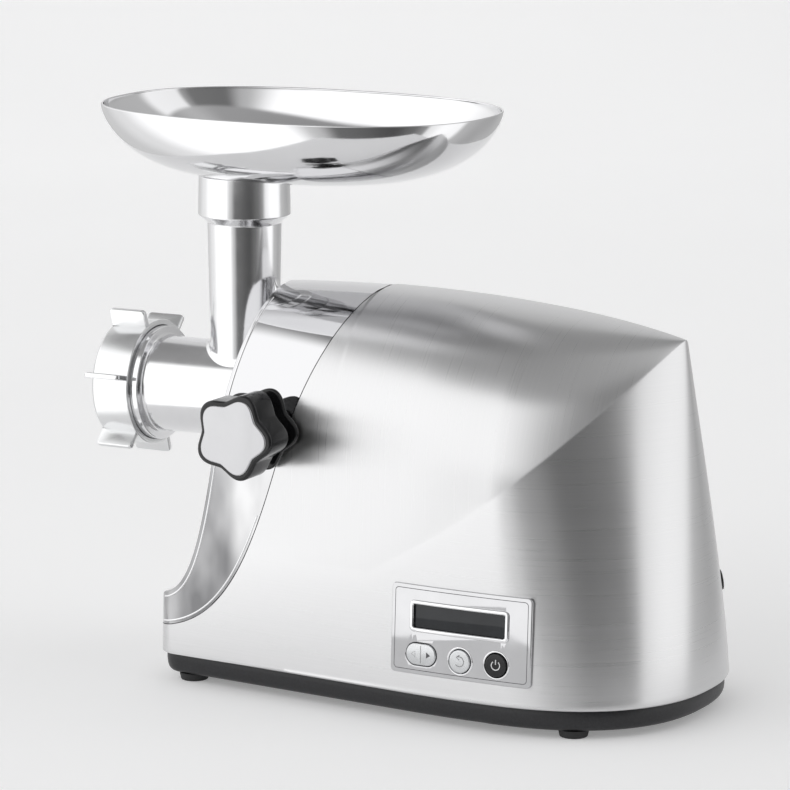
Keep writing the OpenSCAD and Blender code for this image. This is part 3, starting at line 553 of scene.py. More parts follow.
def section(x, z_from, z_to):
    """Outline of the housing at x between two heights, as (y, z) of the +Y side."""
    x = min(x, TIP_X - 0.02)
    top = ridge(x)
    spring = top - ARCH_RISE
    z_to = min(z_to, top)
    upper = []
    if z_to > spring:
        t0 = asin((max(z_from, spring) - spring) / ARCH_RISE)
        t1 = asin(min(1.0, (z_to - spring) / ARCH_RISE))
        upper = [spring + ARCH_RISE * sin(t) for t in np.linspace(t0, t1, 140)]
        upper[-1] = z_to
    lower = list(np.linspace(z_from, min(spring, z_to), 60)) if z_from < spring else []
    return np.array([(section_half(x, z), z) for z in lower + upper[(1 if lower else 0):]])


def resample(points, count):
    """Evenly spaced points along a line."""
    points = np.asarray(points, float)
    d = np.concatenate([[0], np.cumsum(np.linalg.norm(np.diff(points, axis=0), axis=1))])
    s = np.linspace(0, 1, count)
    return np.stack([np.interp(s * d[-1], d, points[:, k]) for k in range(points.shape[1])], 1)


edge_line = bezier(STEEL_EDGE, np.linspace(0, 1, 400))


def steel_top(x):
    """Height at which the steel ends at x: the edge beside the chrome, or the ridge."""
    order = np.argsort(edge_line[:, 0])
    z = float(np.interp(x, edge_line[order, 0], edge_line[order, 1]))
    return min(z, ridge(x)) if x < STEEL_EDGE[0, 0] else ridge(x)


# Points up the wall and the roof, and how soft the crease is
WALL_ROWS, ROOF_ROWS, CREASE_SOFT = 44, 56, 1.1
HEM = 1.6


def rear_column(angle):
    """Wall and roof points of a line up the rounded rear end."""
    zc = SKIRT
    for _ in range(60):
        zc = min(crease_z(rear_point(angle, zc)[0]), ridge(TIP_X))
    wall = np.array([(*rear_point(angle, z), z) for z in np.linspace(SKIRT, zc, 120)])
    x = min(wall[-1, 0], TIP_X - 0.02)
    return wall, np.array([(x, y, z) for y, z in section(x, zc, ridge(x))])


def side_column(x, y):
    """Wall and roof points of a line up the front or a flank."""
    top = steel_top(x)
    zc = crease_z(x)
    if x < FADE_X:
        zc = min(zc, SKIRT + (top - SKIRT) * 0.42)
    if x <= CORNER_X:
        wall = np.array([(x, y * lean(z), z) for z in np.linspace(SKIRT, zc, 60)])
        return wall, np.array([(x, y * lean(z), z) for z in np.linspace(zc, top, 60)])
    wall = np.array([(x, section_half(x, z), z) for z in np.linspace(SKIRT, zc, 120)])
    return wall, np.array([(x, y, z) for y, z in section(x, zc, top)])


def towards(start, end, distance):
    """A point at a distance from the start, but not beyond the end."""
    return start + (end - start) * min(1.0, distance / max(1e-6, np.linalg.norm(end - start)))


def steel_column(wall, roof):
    """One line of the steel skin, from the lower edge to the chrome or the ridge, with a soft crease."""
    wall = resample(wall, WALL_ROWS)
    roof = resample(roof, ROOF_ROWS)
    low, high = towards(wall[-1], wall[-2], CREASE_SOFT), towards(roof[0], roof[1], CREASE_SOFT)
    middle = 0.5 * wall[-1] + 0.25 * (low + high)
    return np.vstack([wall[:-1], [low], [middle], [high], roof[1:]])


def steel_skin():
    """The steel housing, with openings for the panel and the rear fittings and its lower edge rolled in."""
    columns = [(FRONT_X, y) for y in np.linspace(0, CORNER_Y, 18)]
    for a in np.radians(np.linspace(0, 90, 13)[1:]):
        columns.append((CORNER_X - CORNER * cos(a), CORNER_Y + CORNER * sin(a)))
    for x in np.linspace(CORNER_X, WIDE_X, 112)[1:]:
        columns.append((x, base_half(x)))
    lines = [side_column(x, y) for x, y in columns] + [rear_column(t) for t in np.linspace(0, 90, 100)[1:]]
    side = np.array([steel_column(*line) for line in lines])
    grid = np.concatenate([side[::-1] * [1, -1, 1], side[1:]])
    n = grid.shape[0]
    step = np.roll(grid[:, 0], -1, 0) - np.roll(grid[:, 0], 1, 0)
    step /= np.maximum(np.linalg.norm(step, axis=1), 1e-9)[:, None]
    inward = np.stack([step[:, 1], -step[:, 0], np.zeros(n)], 1)
    hem = [grid[:, 0] + inward * HEM * (1 - sin(a)) + np.array([0, 0, HEM * (1 - cos(a))])
           for a in np.linspace(0, pi / 2, 5)]
    rows = hem + [grid[:, r] for r in range(1, grid.shape[1])]
    pts = np.concatenate(rows)
    faces = []
    for r in range(len(rows) - 1):
        for c in range(n - 1):
            a = r * n + c
            quad = (a, a + 1, a + 1 + n, a + n)
            mid = pts[list(quad)].mean(0)
            if not panel_hole(mid) and not rear_hole(mid):
                faces.append(quad)
    obj = mesh_object("steel_skin", pts, faces, 50, True)
    # 0 below the crease and 1 above it, with a wider change where the crease fades out
    grain = obj.data.attributes.new("grain", "FLOAT", "POINT")
    values = []
    for v in obj.data.vertices:
        p = (np.array(v.co) - ORIGIN) * 1000
        x = min(p[0], TIP_X - 1)
        d = p[2] - crease_z(max(x, 0))
        soft = 6 + 70 * max(0.0, min(1.0, (235 - x) / 110))
        values.append(1 / (1 + exp(-max(-30, min(30, d / soft * 6)))))
    grain.data.foreach_set("value", values)
    return obj


# ---- control panel frame

PANEL_W, PANEL_H = 101.4, 58.0
PANEL_MARGIN = 4
RESET_HOLE, INLET_HOLE = 4.5, 7.5
panel = (Matrix.Translation((212.7, -102, 62)) @ Matrix.Rotation(radians(-1.8), 4, "Z")
         @ Matrix.Rotation(radians(-2.9), 4, "X") @ Matrix.Rotation(radians(90), 4, "X")
         @ Matrix.Translation((-PANEL_W / 2, -PANEL_H / 2, 0)))
panel_back = panel.inverted()


def panel_hole(p):
    """Whether a point of the steel lies behind the panel."""
    if p[1] > -60:
        return False
    q = panel_back @ Vector(p)
    return PANEL_MARGIN < q.x < PANEL_W - PANEL_MARGIN and PANEL_MARGIN < q.y < PANEL_H - PANEL_MARGIN


def rear_place(angle, z):
    """Frame at a point of the rear wall, with local Z out of the wall."""
    x, y = rear_point(angle, z)
    (x0, y0), (x1, y1) = rear_point(angle - 1, z), rear_point(angle + 1, z)
    turn = atan2(x1 - x0, y0 - y1)
    xa, ya = rear_point(angle, z + 1)
    tilt = atan((x - xa) * cos(turn) + (y - ya) * sin(turn))
    return (Matrix.Translation((x, y, z)) @ Matrix.Rotation(turn, 4, "Z") @ Matrix.Rotation(-tilt, 4, "Y")
            @ Matrix.Rotation(radians(90), 4, "Y"))


reset_place = rear_place(57, 78)
inlet_place = rear_place(38, 34)


def rear_hole(p):
    """Whether a point of the steel lies behind the reset button or the cord inlet."""
    places = ((reset_place, RESET_HOLE), (inlet_place, INLET_HOLE))
    return any((Vector(p) - m.translation).length < r for m, r in places)


add("steel_skin", steel_skin(), "root", "brushed_steel", ["housing_shell"])


# ---- chrome front

EDGE_ROUND = 1.6
BARREL_HOLE = 40.4


def round_corner(before, corner, after):
    """Five points that round a corner by EDGE_ROUND."""
    near_a = corner + (before - corner) * min(1.0, EDGE_ROUND / max(np.linalg.norm(before - corner), 1e-6)) * 0.999
    near_b = corner + (after - corner) * min(1.0, EDGE_ROUND / max(np.linalg.norm(after - corner), 1e-6)) * 0.999
    return [tuple((1 - t) ** 2 * near_a + 2 * t * (1 - t) * corner + t * t * near_b)
            for t in (0, 0.25, 0.5, 0.75, 1)]


def chrome_cover():
    """Chrome front: a band along the steel on each side, joined by the face that the barrel passes through."""
    rows, band_cols, across = 150, 34, 66
    toe = (FRONT_X, COVER_FOOT + 0.6)
    front = bezier(FRONT_EDGE, np.linspace(0, 1, 400))
    front = front[[z <= ridge(x) for x, z in front]]
    start_x = front[0][0]
    front = np.vstack([[[start_x - 0.6, ridge(start_x - 0.6)]], front,
                       rounded([(-20.5, 60), (-24.6, 57.8), toe], [0, 1.5, 0])[1:]])
    steel = edge_line[[z <= ridge(x) and x > FRONT_X + 0.1 for x, z in edge_line]]
    steel = np.vstack([steel, [[FRONT_X, COVER_FOOT]]])
    steel = steel + np.array([-0.45, 0.0]) * (steel[:, :1] > 20) + np.array([0, 0.5])
    steel[-1] = toe
    steel[0][1] = ridge(steel[0][0])
    grid = []
    for r, ((fx, fz), (sx, sz)) in enumerate(zip(resample(front, rows), resample(steel, rows))):
        band = []
        for k in range(band_cols):
            t = k / (band_cols - 1)
            x = sx + (fx - sx) * t
            z = sz + (fz - sz) * t if r else ridge(x)
            band.append((x, -section_half(x, min(z, ridge(x))), z))
        y0 = section_half(fx, min(fz, ridge(fx)) if r else ridge(fx))
        face = [(fx, y0 * w, fz) for w in np.linspace(-1, 1, across)]
        left = band[:-1] + round_corner(*(np.array(p) for p in (band[-2], band[-1], face[1])))
        grid.append(left + face[1:-1] + [(x, -y, z) for x, y, z in left[::-1]])
    n = len(grid[0])
    pts = np.array(grid).reshape(-1, 3)
    # points of the face that are close to the barrel's hole are moved onto its edge
    face_lo, face_hi = band_cols + 4, n - band_cols - 4
    for r in range(rows):
        for c in range(face_lo, face_hi):
            p = pts[r * n + c]
            d = hypot(p[1], p[2] - AXIS_Z)
            if abs(d - BARREL_HOLE) < 1.5:
                k = BARREL_HOLE / d
                p[1] *= k
                p[2] = AXIS_Z + (p[2] - AXIS_Z) * k
    faces = []
    for r in range(rows - 1):
        for c in range(n - 1):
            quad = (r * n + c, r * n + c + 1, (r + 1) * n + c + 1, (r + 1) * n + c)
            q = pts[list(quad)]
            if face_lo <= c < face_hi and np.min(np.hypot(q[:, 1], q[:, 2] - AXIS_Z)) < BARREL_HOLE - 0.05:
                continue
            faces.append(quad)
    return mesh_object("chrome_cover", pts, faces, 50, True)


add("chrome_cover", chrome_cover(), "root", "chrome", ["front_cover"], paint="cover_chrome_painted_reflection")


def cover_rim(name, line, inward, radius):
    """Raised bead that runs along one edge of the chrome cover, on both sides."""
    line = resample(np.array([p for p in line if p[1] < ridge(p[0]) - 6]), 160)
    step = np.gradient(line, axis=0)
    step /= np.linalg.norm(step, axis=1)[:, None]
    line = line + np.stack([-step[:, 1], step[:, 0]], 1) * inward
    for side, sign in (("near", -1), ("far", 1)):
        path = np.array([(x, sign * (section_half(x, z) - 0.25 * radius), z) for x, z in line])
        along = np.gradient(path, axis=0)
        along /= np.linalg.norm(along, axis=1)[:, None]
        flat = np.cross(along, (0, 1, 0))
        flat /= np.linalg.norm(flat, axis=1)[:, None]
        up = np.cross(along, flat)
        rings = [p + radius * (cos(a) * u + sin(a) * w)
                 for p, u, w in zip(path, flat, up) for a in np.linspace(0, 2 * pi, 13)[:-1]]
        rim = loft(f"{name}_{side}", [rings[k:k + 12] for k in range(0, len(rings), 12)], (True, True), 60)
        add(f"{name}_{side}", rim, "root", "chrome")


cover_rim("cover_rim", bezier(FRONT_EDGE, np.linspace(0, 1, 400)), 3.4, 0.75)
cover_rim("cover_hem", [p for p in edge_line if p[1] < 120 and p[0] > FRONT_X + 6], -2.6, 0.75)


def seam():
    """Near-black sheet just under the skin, seen in the gap between the chrome and the steel: painted shade of the
    gap.
    """
    pts, faces = [], []
    count = len(edge_line)
    for sign in (-1, 1):
        base = len(pts)
        for shift in (-3.0, 3.0):
            for x, z in edge_line:
                x = x + shift
                z = min(z, ridge(min(x, STEEL_EDGE[0, 0])) - 0.3)
                x = max(x, FRONT_X + 1)
                pts.append((x, sign * max(0.0, section_half(x, z) - 1.0), z - 0.4))
        for a in range(base, base + count - 1):
            faces.append((a, a + 1, a + count + 1, a + count))
    return mesh_object("seam_painted_shade", pts, faces, 60, False)


# near-black sheet seen in the gap between chrome and steel: painted shade of the gap
add("seam_painted_shade", seam(), "root", "black_plastic", paint="gap_shade")


# ---- base and feet

def plan_ring(inset, z):
    """Outline of the base at a height, moved in by inset."""
    pts = []
    rc = max(1.0, CORNER - inset)
    for a in np.radians(np.linspace(0, 88, 12)):
        pts.append((CORNER_X - rc * cos(a), CORNER_Y + rc * sin(a)))
    for x in np.linspace(CORNER_X + 4, WIDE_X - 6, 40):
        pts.append((x, base_half(x) - inset))
    pts += [rear_point(t, z, inset) for t in np.linspace(0, 90, 70)]
    half = pts[:-1]
    return [(x, -y, z) for x, y in half] + [(pts[-1][0], 0.0, z)] + [(x, y, z) for x, y in half[::-1]]


pan = loft("base_ring", [plan_ring(i, z) for i, z in (
    (12, 5), (9.5, 5), (8.3, 5.15), (7.2, 5.5), (6.0, 6.1), (5.0, 7.0), (4.2, 8.2), (3.6, 9.8), (3.3, 11.8),
    (3.1, 14), (3.0, 17.4), (3.3, 18.0), (3.3, 18.4), (2.6, 18.4), (2.6, 19.6), (4.5, 22.5))], (True, True), 40)
add("base_ring", pan, "root", "black_plastic", ["base_pan"])

FEET = ((-4, -64), (283, -80), (-4, 64), (283, 80))
foot_profile = rounded([(0, 4.4), (4.6, 4.4), (4.6, 0), (9, 0), (10, 5), (0, 5)], [0, 0.4, 0.5, 1.1, 0.2, 0])
for k, (x, y) in enumerate(FEET):
    foot = lathe(f"foot_{k}", foot_profile, upright(x, y, 0), steps=72)
    add(f"foot_{k}", foot, "root", "rubber", ["rubber_feet"])


# ---- control panel

# Window (left, bottom, width, height) and the centres of the rocker and the buttons on the panel
WINDOW = (17, PANEL_H - 27.5, 66, 15)
ROCKER = (23, PANEL_H - 44.7)
REVERSE = (51.7, PANEL_H - 45.6)
POWER = (77.5, PANEL_H - 45.1)
BEND_RADIUS = 620.0


def shifted(outline, x, y):
    return np.asarray(outline) + [x, y]


def bend(obj):
    """Bends a panel piece round the housing: cut into strips first, so that it bends smoothly."""
    b = bmesh.new()
    b.from_mesh(obj.data)
    to_panel = panel_back @ Matrix.Scale(1000, 4) @ Matrix.Translation(-Vector(ORIGIN))
    b.transform(to_panel)
    for x in np.arange(4.0, PANEL_W, 4.0):
        bmesh.ops.bisect_plane(b, geom=b.verts[:] + b.edges[:] + b.faces[:], plane_co=(x, 0, 0),
                               plane_no=(1, 0, 0))
    for v in b.verts:
        v.co.z -= (v.co.x - PANEL_W / 2) ** 2 / (2 * BEND_RADIUS)
    b.transform(to_panel.inverted())
    b.to_mesh(obj.data)
    b.free()
    obj.data.update()
    return obj


def sunk(at):
    """Panel frame moved to a place on the bent panel and turned to face out of it."""
    dx = at[0] - PANEL_W / 2
    return (panel @ Matrix.Translation((at[0], at[1], -dx * dx / (2 * BEND_RADIUS)))
            @ Matrix.Rotation(atan(dx / BEND_RADIUS), 4, "Y"))


window_hole = shifted(round_rect(WINDOW[2], WINDOW[3], 1.0)[::-1], WINDOW[0], WINDOW[1])
bezel = plate("panel_bezel", [
    round_rect(PANEL_W, PANEL_H, 3.2),
    window_hole,
    oval(*ROCKER, 22.8, 14.8)[::-1],
    circle(*REVERSE, 7.8)[::-1],
    circle(*POWER, 7.8)[::-1]], -4, 0, 0.8, panel)
add("panel_bezel", bend(bezel), "root", "chrome", ["control_bezel"], paint="panel_chrome")
frame_outer = shifted(round_rect(WINDOW[2] + 5.6, WINDOW[3] + 5.6, 3.2), WINDOW[0] - 2.8, WINDOW[1] - 2.8)
window_frame = plate("window_frame", [frame_outer, window_hole], -1.2, 1.3, 1.0, panel)
add("window_frame", bend(window_frame), "root", "chrome")
# groove round the panel, drawn as a raised dark line: painted shade of the groove
rim = wire("panel_groove_shade", shifted(round_rect(PANEL_W - 5.6, PANEL_H - 5.6, 2.4), 2.8, 2.8), 0.22, panel, True)
add("panel_groove_shade", bend(rim), "root", "black_plastic", paint="dark_print_and_groove_shade")

glass = bar("display_pane", shifted(round_rect(65.6, 14.6, 0.9), 17.2, PANEL_H - 27.3), -2.6, -0.9, 0.2, panel)
add("display_pane", bend(glass), "root", "display_glass", ["display_window"])
# near-black plate behind the bezel, seen in the gaps round the buttons and the window: painted shade of the gaps
back = bar("panel_back", shifted(round_rect(PANEL_W - 5, PANEL_H - 5, 2), 2.5, 2.5), -5.4, -4.2, 0.2, panel)
add("panel_back", bend(back), "root", "black_plastic", paint="gap_shade")


def mark(name, points, radius, matrix, body, slot, paint, cyclic=False):
    """A symbol's line on a button."""
    add(name, wire(name, points, radius, matrix, cyclic), body, slot, paint=paint)


rocker_frame = sunk(ROCKER)
rocker = bar("speed_rocker_cap", oval(0, 0, 22, 14), -3.4, 0.6, 0.8, rocker_frame, low_edge=0.2)
add("speed_rocker_cap", rocker, "rocker", "silver_button", ["speed_rocker"])
rocker_face = rocker_frame @ Matrix.Translation((0, 0, 0.62))
mark("rocker_line", [(0, -5.6), (0, 0), (0, 5.6)], 0.22, rocker_face, "rocker", "black_plastic", "mark_grey")
mark("slower_mark", [(-6.9, 0), (-4.2, 1.9), (-4.2, -1.9)], 0.16, rocker_face, "rocker", "black_plastic",
     "mark_grey", True)
faster = loft("faster_mark", [[(x, y, z) for x, y in ((4.2, -2.0), (7.2, 0), (4.2, 2.0))] for z in (-0.15, 0.06)],
              matrix=rocker_face)
add("faster_mark", faster, "rocker", "black_plastic", paint="dark_print_and_groove_shade")

button_profile = rounded([(0, -7.4), (2.5, -7.4), (2.5, -3.6), (7.45, -3.6), (7.45, 1.2), (0, 1.05)],
                         [0, 0.3, 0.3, 0.4, 0.9, 0])
for name, at, body, slot, old in (
        ("reverse_cap", REVERSE, "reverse", "silver_button", "reverse_button"),
        ("power_cap", POWER, "power", "gloss_black", "power_button")):
    cap = lathe(name, button_profile, sunk(at), steps=72)
    add(name, cap, body, slot, [old])
    trim = lathe(name + "_trim", [(8.0, -0.5), (9.5, -0.5), (9.3, 0.35), (8.7, 0.6), (8.1, 0.35)], sunk(at),
                 closed=True, steps=96, angle=70)
    add(name + "_trim", trim, "root", "chrome")

turn_back = [(3.2 * cos(a), 3.2 * sin(a)) for a in np.radians(np.linspace(-140, 120, 30))]
arrow = sunk(REVERSE) @ Matrix.Translation((0, 0, 1.14))
mark("reverse_arc", turn_back, 0.26, arrow, "reverse", "black_plastic", "mark_grey")
ax, ay = turn_back[-1]
arrow_head = [(ax + 1.7, ay + 1.5), (ax - 0.6, ay - 0.2), (ax + 1.6, ay - 1.7)]
mark("reverse_head", arrow_head, 0.26, arrow, "reverse", "black_plastic", "mark_grey")
light = sunk(POWER) @ Matrix.Translation((0, 0, 1.14))
power_arc = [(2.9 * sin(a), 2.9 * cos(a)) for a in np.radians(np.linspace(38, 322, 40))]
mark("power_arc", power_arc, 0.34, light, "power", "silver_button", "mark_light")
mark("power_bar", [(0, 0.6), (0, 2.0), (0, 3.8)], 0.34, light, "power", "silver_button", "mark_light")

# ---- grinder head

def barrel():
    """Barrel of the head, open at the outlet, with the bush's hole at its rear end."""
    profile = np.array([(31.4, -91), (38.4, -91), (38.4, -62), (32.3, -61.9), (31.7, 22), (31.7, 77), (10, 77),
                        (10, 71.4), (27.5, 71.4), (27.5, -86.2), (31.4, -86.2)])
    radii = [0.5, 0.8, 0.8, 2.5, 0, 1.5, 0.5, 0.3, 1.0, 0.5, 0.3]
    return lathe("cast_barrel", rounded(profile, radii, closed=True), along_x(), closed=True)


add("cast_barrel", barrel(), "head", "cast_aluminium", ["grinder_head"])


def feed_tube():
    """Feed tube with a cast fillet on the barrel and a stepped collar."""
    steps = 144
    t = np.linspace(0, 2 * pi, steps, endpoint=False)
    rt, fillet = 23.35, 5.5
    rings = []

    def on_barrel(a, r):
        return AXIS_Z + sqrt(max(1.0, 31.9 ** 2 - (r * sin(a)) ** 2))

    for k in range(9):
        w = k / 8
        ring = []
        for a in t:
            f = fillet * (0.55 + 0.45 * abs(cos(a)))
            p0 = np.array([rt + f, on_barrel(a, rt + f) - 0.35])
            p1 = np.array([rt, on_barrel(a, rt)])
            p2 = np.array([rt, on_barrel(a, rt) + f])
            r, z = (1 - w) ** 2 * p0 + 2 * w * (1 - w) * p1 + w * w * p2
            ring.append((r * cos(a), r * sin(a), z))
        rings.append(ring)
    start = rings[-1]
    level = 232.0
    for w in np.linspace(0, 1, 6)[1:]:
        rings.append([(rr[0], rr[1], rr[2] + (level - rr[2]) * w) for rr in start])
    profile = rounded([(23.6, level), (24.9, 299.5), (31, 304.6), (30.4, 331), (27.5, 331), (27.5, 307),
                       (21.5, 307), (21.5, 160)], [0, 2.5, 1.6, 0.8, 0.5, 0.4, 0.4, 0], steps=6)
    for r, z in profile:
        rings.append([(r * cos(a), r * sin(a), z) for a in t])
    return loft("cast_feed_tube", rings, (False, False), 40)


add("cast_feed_tube", feed_tube(), "head", "cast_aluminium")


def rib():
    """Web between the feed tube and the barrel."""
    outline = rounded([(15, 205), (24, 205), (24, 227), (28, 227), (28, 253), (24, 263), (15, 266)],
                      [0, 0.5, 0.8, 1.2, 5, 6, 1], closed=True, steps=8)
    m = Matrix(((1, 0, 0, 0), (0, 0, -1, 0), (0, 1, 0, 0), (0, 0, 0, 1)))
    return bar("cast_rib", outline, -3, 3, 1.2, m)


add("cast_rib", rib(), "head", "cast_aluminium")

# ---- ring nut

nut_profile = rounded([(28, -96.4), (39.4, -96.4), (41, -94.4), (42.4, -67.3), (38.8, -67.3), (38.8, -92.6),
                       (28, -92.6)], [0.6, 0.8, 1.0, 0.9, 0.5, 0.4, 0.4], closed=True)
nut = lathe("nut_body", nut_profile, along_x(), closed=True)
add("nut_body", nut, "nut", "satin_aluminium", ["ring_nut"])

lug_outline = rounded([(40.4, -95.4), (53.4, -95.6), (53.6, -68.0), (40.4, -68.0)], [0.2, 3.2, 3.2, 0.2],
                      closed=True, steps=8)
for k in range(6):
    turn = radians(k * 60 - 12)
    # local X out from the axis, local Y along machine X, local Z round the ring
    c, s = cos(turn), sin(turn)
    m = Matrix(((0, 1, 0, 0), (c, 0, -s, 0), (s, 0, c, AXIS_Z), (0, 0, 0, 1)))
    lug = bar(f"nut_lug_{k}", lug_outline, -1.8, 1.8, 0.9, m)
    add(f"nut_lug_{k}", lug, "nut", "satin_aluminium")

# ---- tray

TRAY_X, TRAY_Y, TRAY_SHIFT, DISH_Z, RIM_Z, TRAY_WALL, NECK_R = 135.3, 90.9, 43.1, 333.0, 379.3, 1.6, 27.2


def super_ring(f, count):
    """Outline of the tray in plan, shrunk to the share f."""
    out = []
    n = 2 + 0.44 * f
    for k in range(count):
        a = 2 * pi * k / count
        c, s = cos(a), sin(a)
        out.append((TRAY_SHIFT + TRAY_X * f * copysign(abs(c) ** (2 / n), c),
                    TRAY_Y * f * copysign(abs(s) ** (2 / n), s)))
    return np.array(out)


def dish_f(x, y):
    """How far out a point is between the centre of the dish (0) and its rim (1)."""
    u, v = abs(x - TRAY_SHIFT) / TRAY_X, abs(y) / TRAY_Y
    f = max(1e-6, hypot(u, v))
    for _ in range(12):
        n = 2 + 0.44 * min(f, 1)
        f = max(1e-6, (u ** n + v ** n) ** (1 / n))
    return f


def dish_z(x, y):
    """Height of the dish's inner face."""
    f = min(1.0, dish_f(x, y))
    return DISH_Z + (RIM_Z - 0.9 - DISH_Z) * (1 - (1 - f ** 4.2) ** 0.667)


def tray():
    """The deep oval tray: inner face, rolled rim and outer face."""
    count, rows = 192, 70
    rim = super_ring(1.0, count)
    angles = np.arctan2(rim[:, 1], rim[:, 0])
    hole = np.stack([NECK_R * np.cos(angles), NECK_R * np.sin(angles)], 1)
    inner = []
    for r in range(rows):
        w = 1 - (1 - r / (rows - 1)) ** 2.2
        ring = hole + (rim - hole) * w
        inner.append([(x, y, dish_z(x, y)) for x, y in ring])
    inner = np.array(inner)
    along = np.roll(inner, -1, 1) - np.roll(inner, 1, 1)
    up = np.gradient(inner, axis=0)
    normal = np.cross(along, up)
    normal /= np.maximum(np.linalg.norm(normal, axis=2), 1e-9)[:, :, None]
    if normal[0, 0, 2] > 0:
        normal = -normal
    side = normal[-1].copy()
    side[:, 2] = 0
    side /= np.linalg.norm(side, axis=1)[:, None]
    normal[-1] = side
    normal[-2] = (normal[-3] + side) / np.linalg.norm(normal[-3] + side, axis=1)[:, None]
    roll = []
    for k in range(1, 9):
        a = pi * k / 9
        out = inner[-1] + side * (TRAY_WALL / 2 * (1 - cos(a)))
        out[:, 2] += TRAY_WALL / 2 * sin(a)
        roll.append(out)
    outer = [inner[r] + normal[r] * TRAY_WALL for r in range(rows - 1, -1, -1)]
    return loft("tray_dish", list(inner) + roll + outer + [inner[0]], (False, False), 50)


add("tray_dish", tray(), "tray", "tray_metal", ["hopper_tray"])
neck = lathe("tray_spout", rounded([(24.5, 309), (27.2, 309), (27.2, 333.4), (24.5, 333.4)], [0.5, 0.6, 0.1, 0.9],
                                   closed=True), upright(), closed=True)
add("tray_spout", neck, "tray", "tray_metal", ["tray_neck"])

# ---- knob

KNOB_X, KNOB_FACE_Y, KNOB_Z = 61.5, -127.5, 180.5
KNOB = Matrix(((1, 0, 0, KNOB_X), (0, 0, 1, KNOB_FACE_Y), (0, -1, 0, KNOB_Z), (0, 0, 0, 1)))


def star(r, count=240):
    """Anticlockwise star with five lobes and small bulges in the valleys."""
    out = []
    for k in range(count):
        t = 2 * pi * k / count
        w = (1 + cos(5 * (t + radians(5)))) / 2
        far = r * (0.77 + 0.23 * w ** 0.8 + 0.03 * (1 - w) ** 4)
        out.append((far * cos(t), -far * sin(t)))
    return np.array(out)[::-1]


star_body = bar("knob_grip", star(29.0), 1.2, 25, 2.2, KNOB, steps=6)
add("knob_grip", star_body, "knob", "gloss_black", ["knob_body"])
hub_profile = rounded([(0, 24), (17, 24), (17, 25), (13, 30), (5.2, 30), (5.2, 20)], [0, 0, 0.5, 0.8, 0.2, 0])
hub = lathe("knob_hub", hub_profile, KNOB, steps=96)
add("knob_hub", hub, "knob", "gloss_black")
cap = bar("knob_face", star(25.2), 0.0, 3.0, 1.0, KNOB, steps=6)
add("knob_face", cap, "knob", "satin_aluminium", ["knob_cap"], paint="knob_satin")
collar_frame = Matrix(((1, 0, 0, KNOB_X), (0, 0, -1, 0), (0, 1, 0, KNOB_Z), (0, 0, 0, 1)))
collar = lathe("clamp_collar", rounded([(5.5, 72.1), (10.6, 72.1), (10.6, 83), (16, 83), (14, 91), (5.5, 91)],
                                       [0.2, 0.3, 0.2, 0.8, 1.2, 0.4], closed=True), collar_frame, closed=True)
add("clamp_collar", collar, "root", "gloss_black", ["knob_collar"])
flange = bar("collar_flange", star(27.9)[::-1] * np.array([1, -1]), 87.1, 90.9, 1.2, collar_frame, steps=4)
add("collar_flange", flange, "root", "gloss_black")

# ---- rear fittings

bezel_profile = rounded([(3.6, -14), (4.8, -14), (4.8, 0.4), (6.8, 0.4), (6.6, 1.8), (3.6, 1.8)],
                        [0.2, 0.2, 0.1, 0.3, 0.7, 0.3], closed=True)
bezel_ring = lathe("reset_ring", bezel_profile, reset_place, closed=True, steps=72)
add("reset_ring", bezel_ring, "root", "black_plastic", ["reset_bezel"])
dome_profile = rounded([(0, -8), (3.5, -8), (3.5, 1.9), (0, 2.2)], [0, 0.2, 1.3, 0])
dome = lathe("reset_dome", dome_profile, reset_place, steps=72)
add("reset_dome", dome, "reset", "gloss_black", ["reset_button"])
inlet_profile = rounded([(4.2, -12), (9.5, -12), (9.5, -4), (7.6, -4), (7.6, 0.5), (10.5, 0.5), (10.2, 2.5),
                         (4.2, 2.5)], [0.2, 0.4, 0.3, 0.1, 0.1, 0.3, 0.9, 0.5], closed=True)
inlet = lathe("cord_bush", inlet_profile, inlet_place, closed=True, steps=72)
add("cord_bush", inlet, "root", "black_plastic", ["cord_inlet"])

# ---- carried-over CAD parts

for name, obj in frame["nodes"].items():
    obj.data.materials.clear()
    obj.data.materials.append(MATERIALS[slot_of[name]])

# ---- stage, light and camera

# The camera's place in metres from the feed tube's axis, and how it is turned
CAMERA_PLACE, CAMERA_TILT, CAMERA_TURN, CAMERA_LENS = (1.46839, -2.57824, 0.73929), 79.35, 27.73, 205.06


def stage_floor():
    """A pale sweep that starts just in front of the machine, widens to the back and curves up there."""
    front, back = -0.42, 2.6
    profile = [(front, -0.0005), (front + 0.01, 0.0), (back, 0.0)]
    profile += [(back + 1.2 * sin(a), 1.2 * (1 - cos(a))) for a in np.linspace(0, pi / 2, 16)[1:]]
    profile.append((back + 1.2, 3.0))
    pts = [(side * (0.31 + 0.10 * (y - front)), y, z) for y, z in profile for side in (-1, 1)]
    faces = [(2 * k, 2 * k + 1, 2 * k + 3, 2 * k + 2) for k in range(len(profile) - 1)]
    mesh = bpy.data.meshes.new("studio_sweep")
    mesh.from_pydata(pts, [], faces)
    mesh.update()
    obj = link_object("studio_sweep", mesh)
    obj.rotation_euler[2] = radians(CAMERA_TURN)
    obj.location = (0, 0, -0.0002)
    mesh.polygons.foreach_set("use_smooth", [True] * len(mesh.polygons))
    paper = material("studio_paper", (0.86, 0.86, 0.865), 0.0, 0.7, 2, 0.01, 0.02, specular=0.1)
    shader = paper.node_tree.nodes["Principled BSDF"]
    shader.inputs["Emission Color"].default_value = (1, 1, 1, 1)
    shader.inputs["Emission Strength"].default_value = 0.24
    mesh.materials.append(paper)


stage_floor()

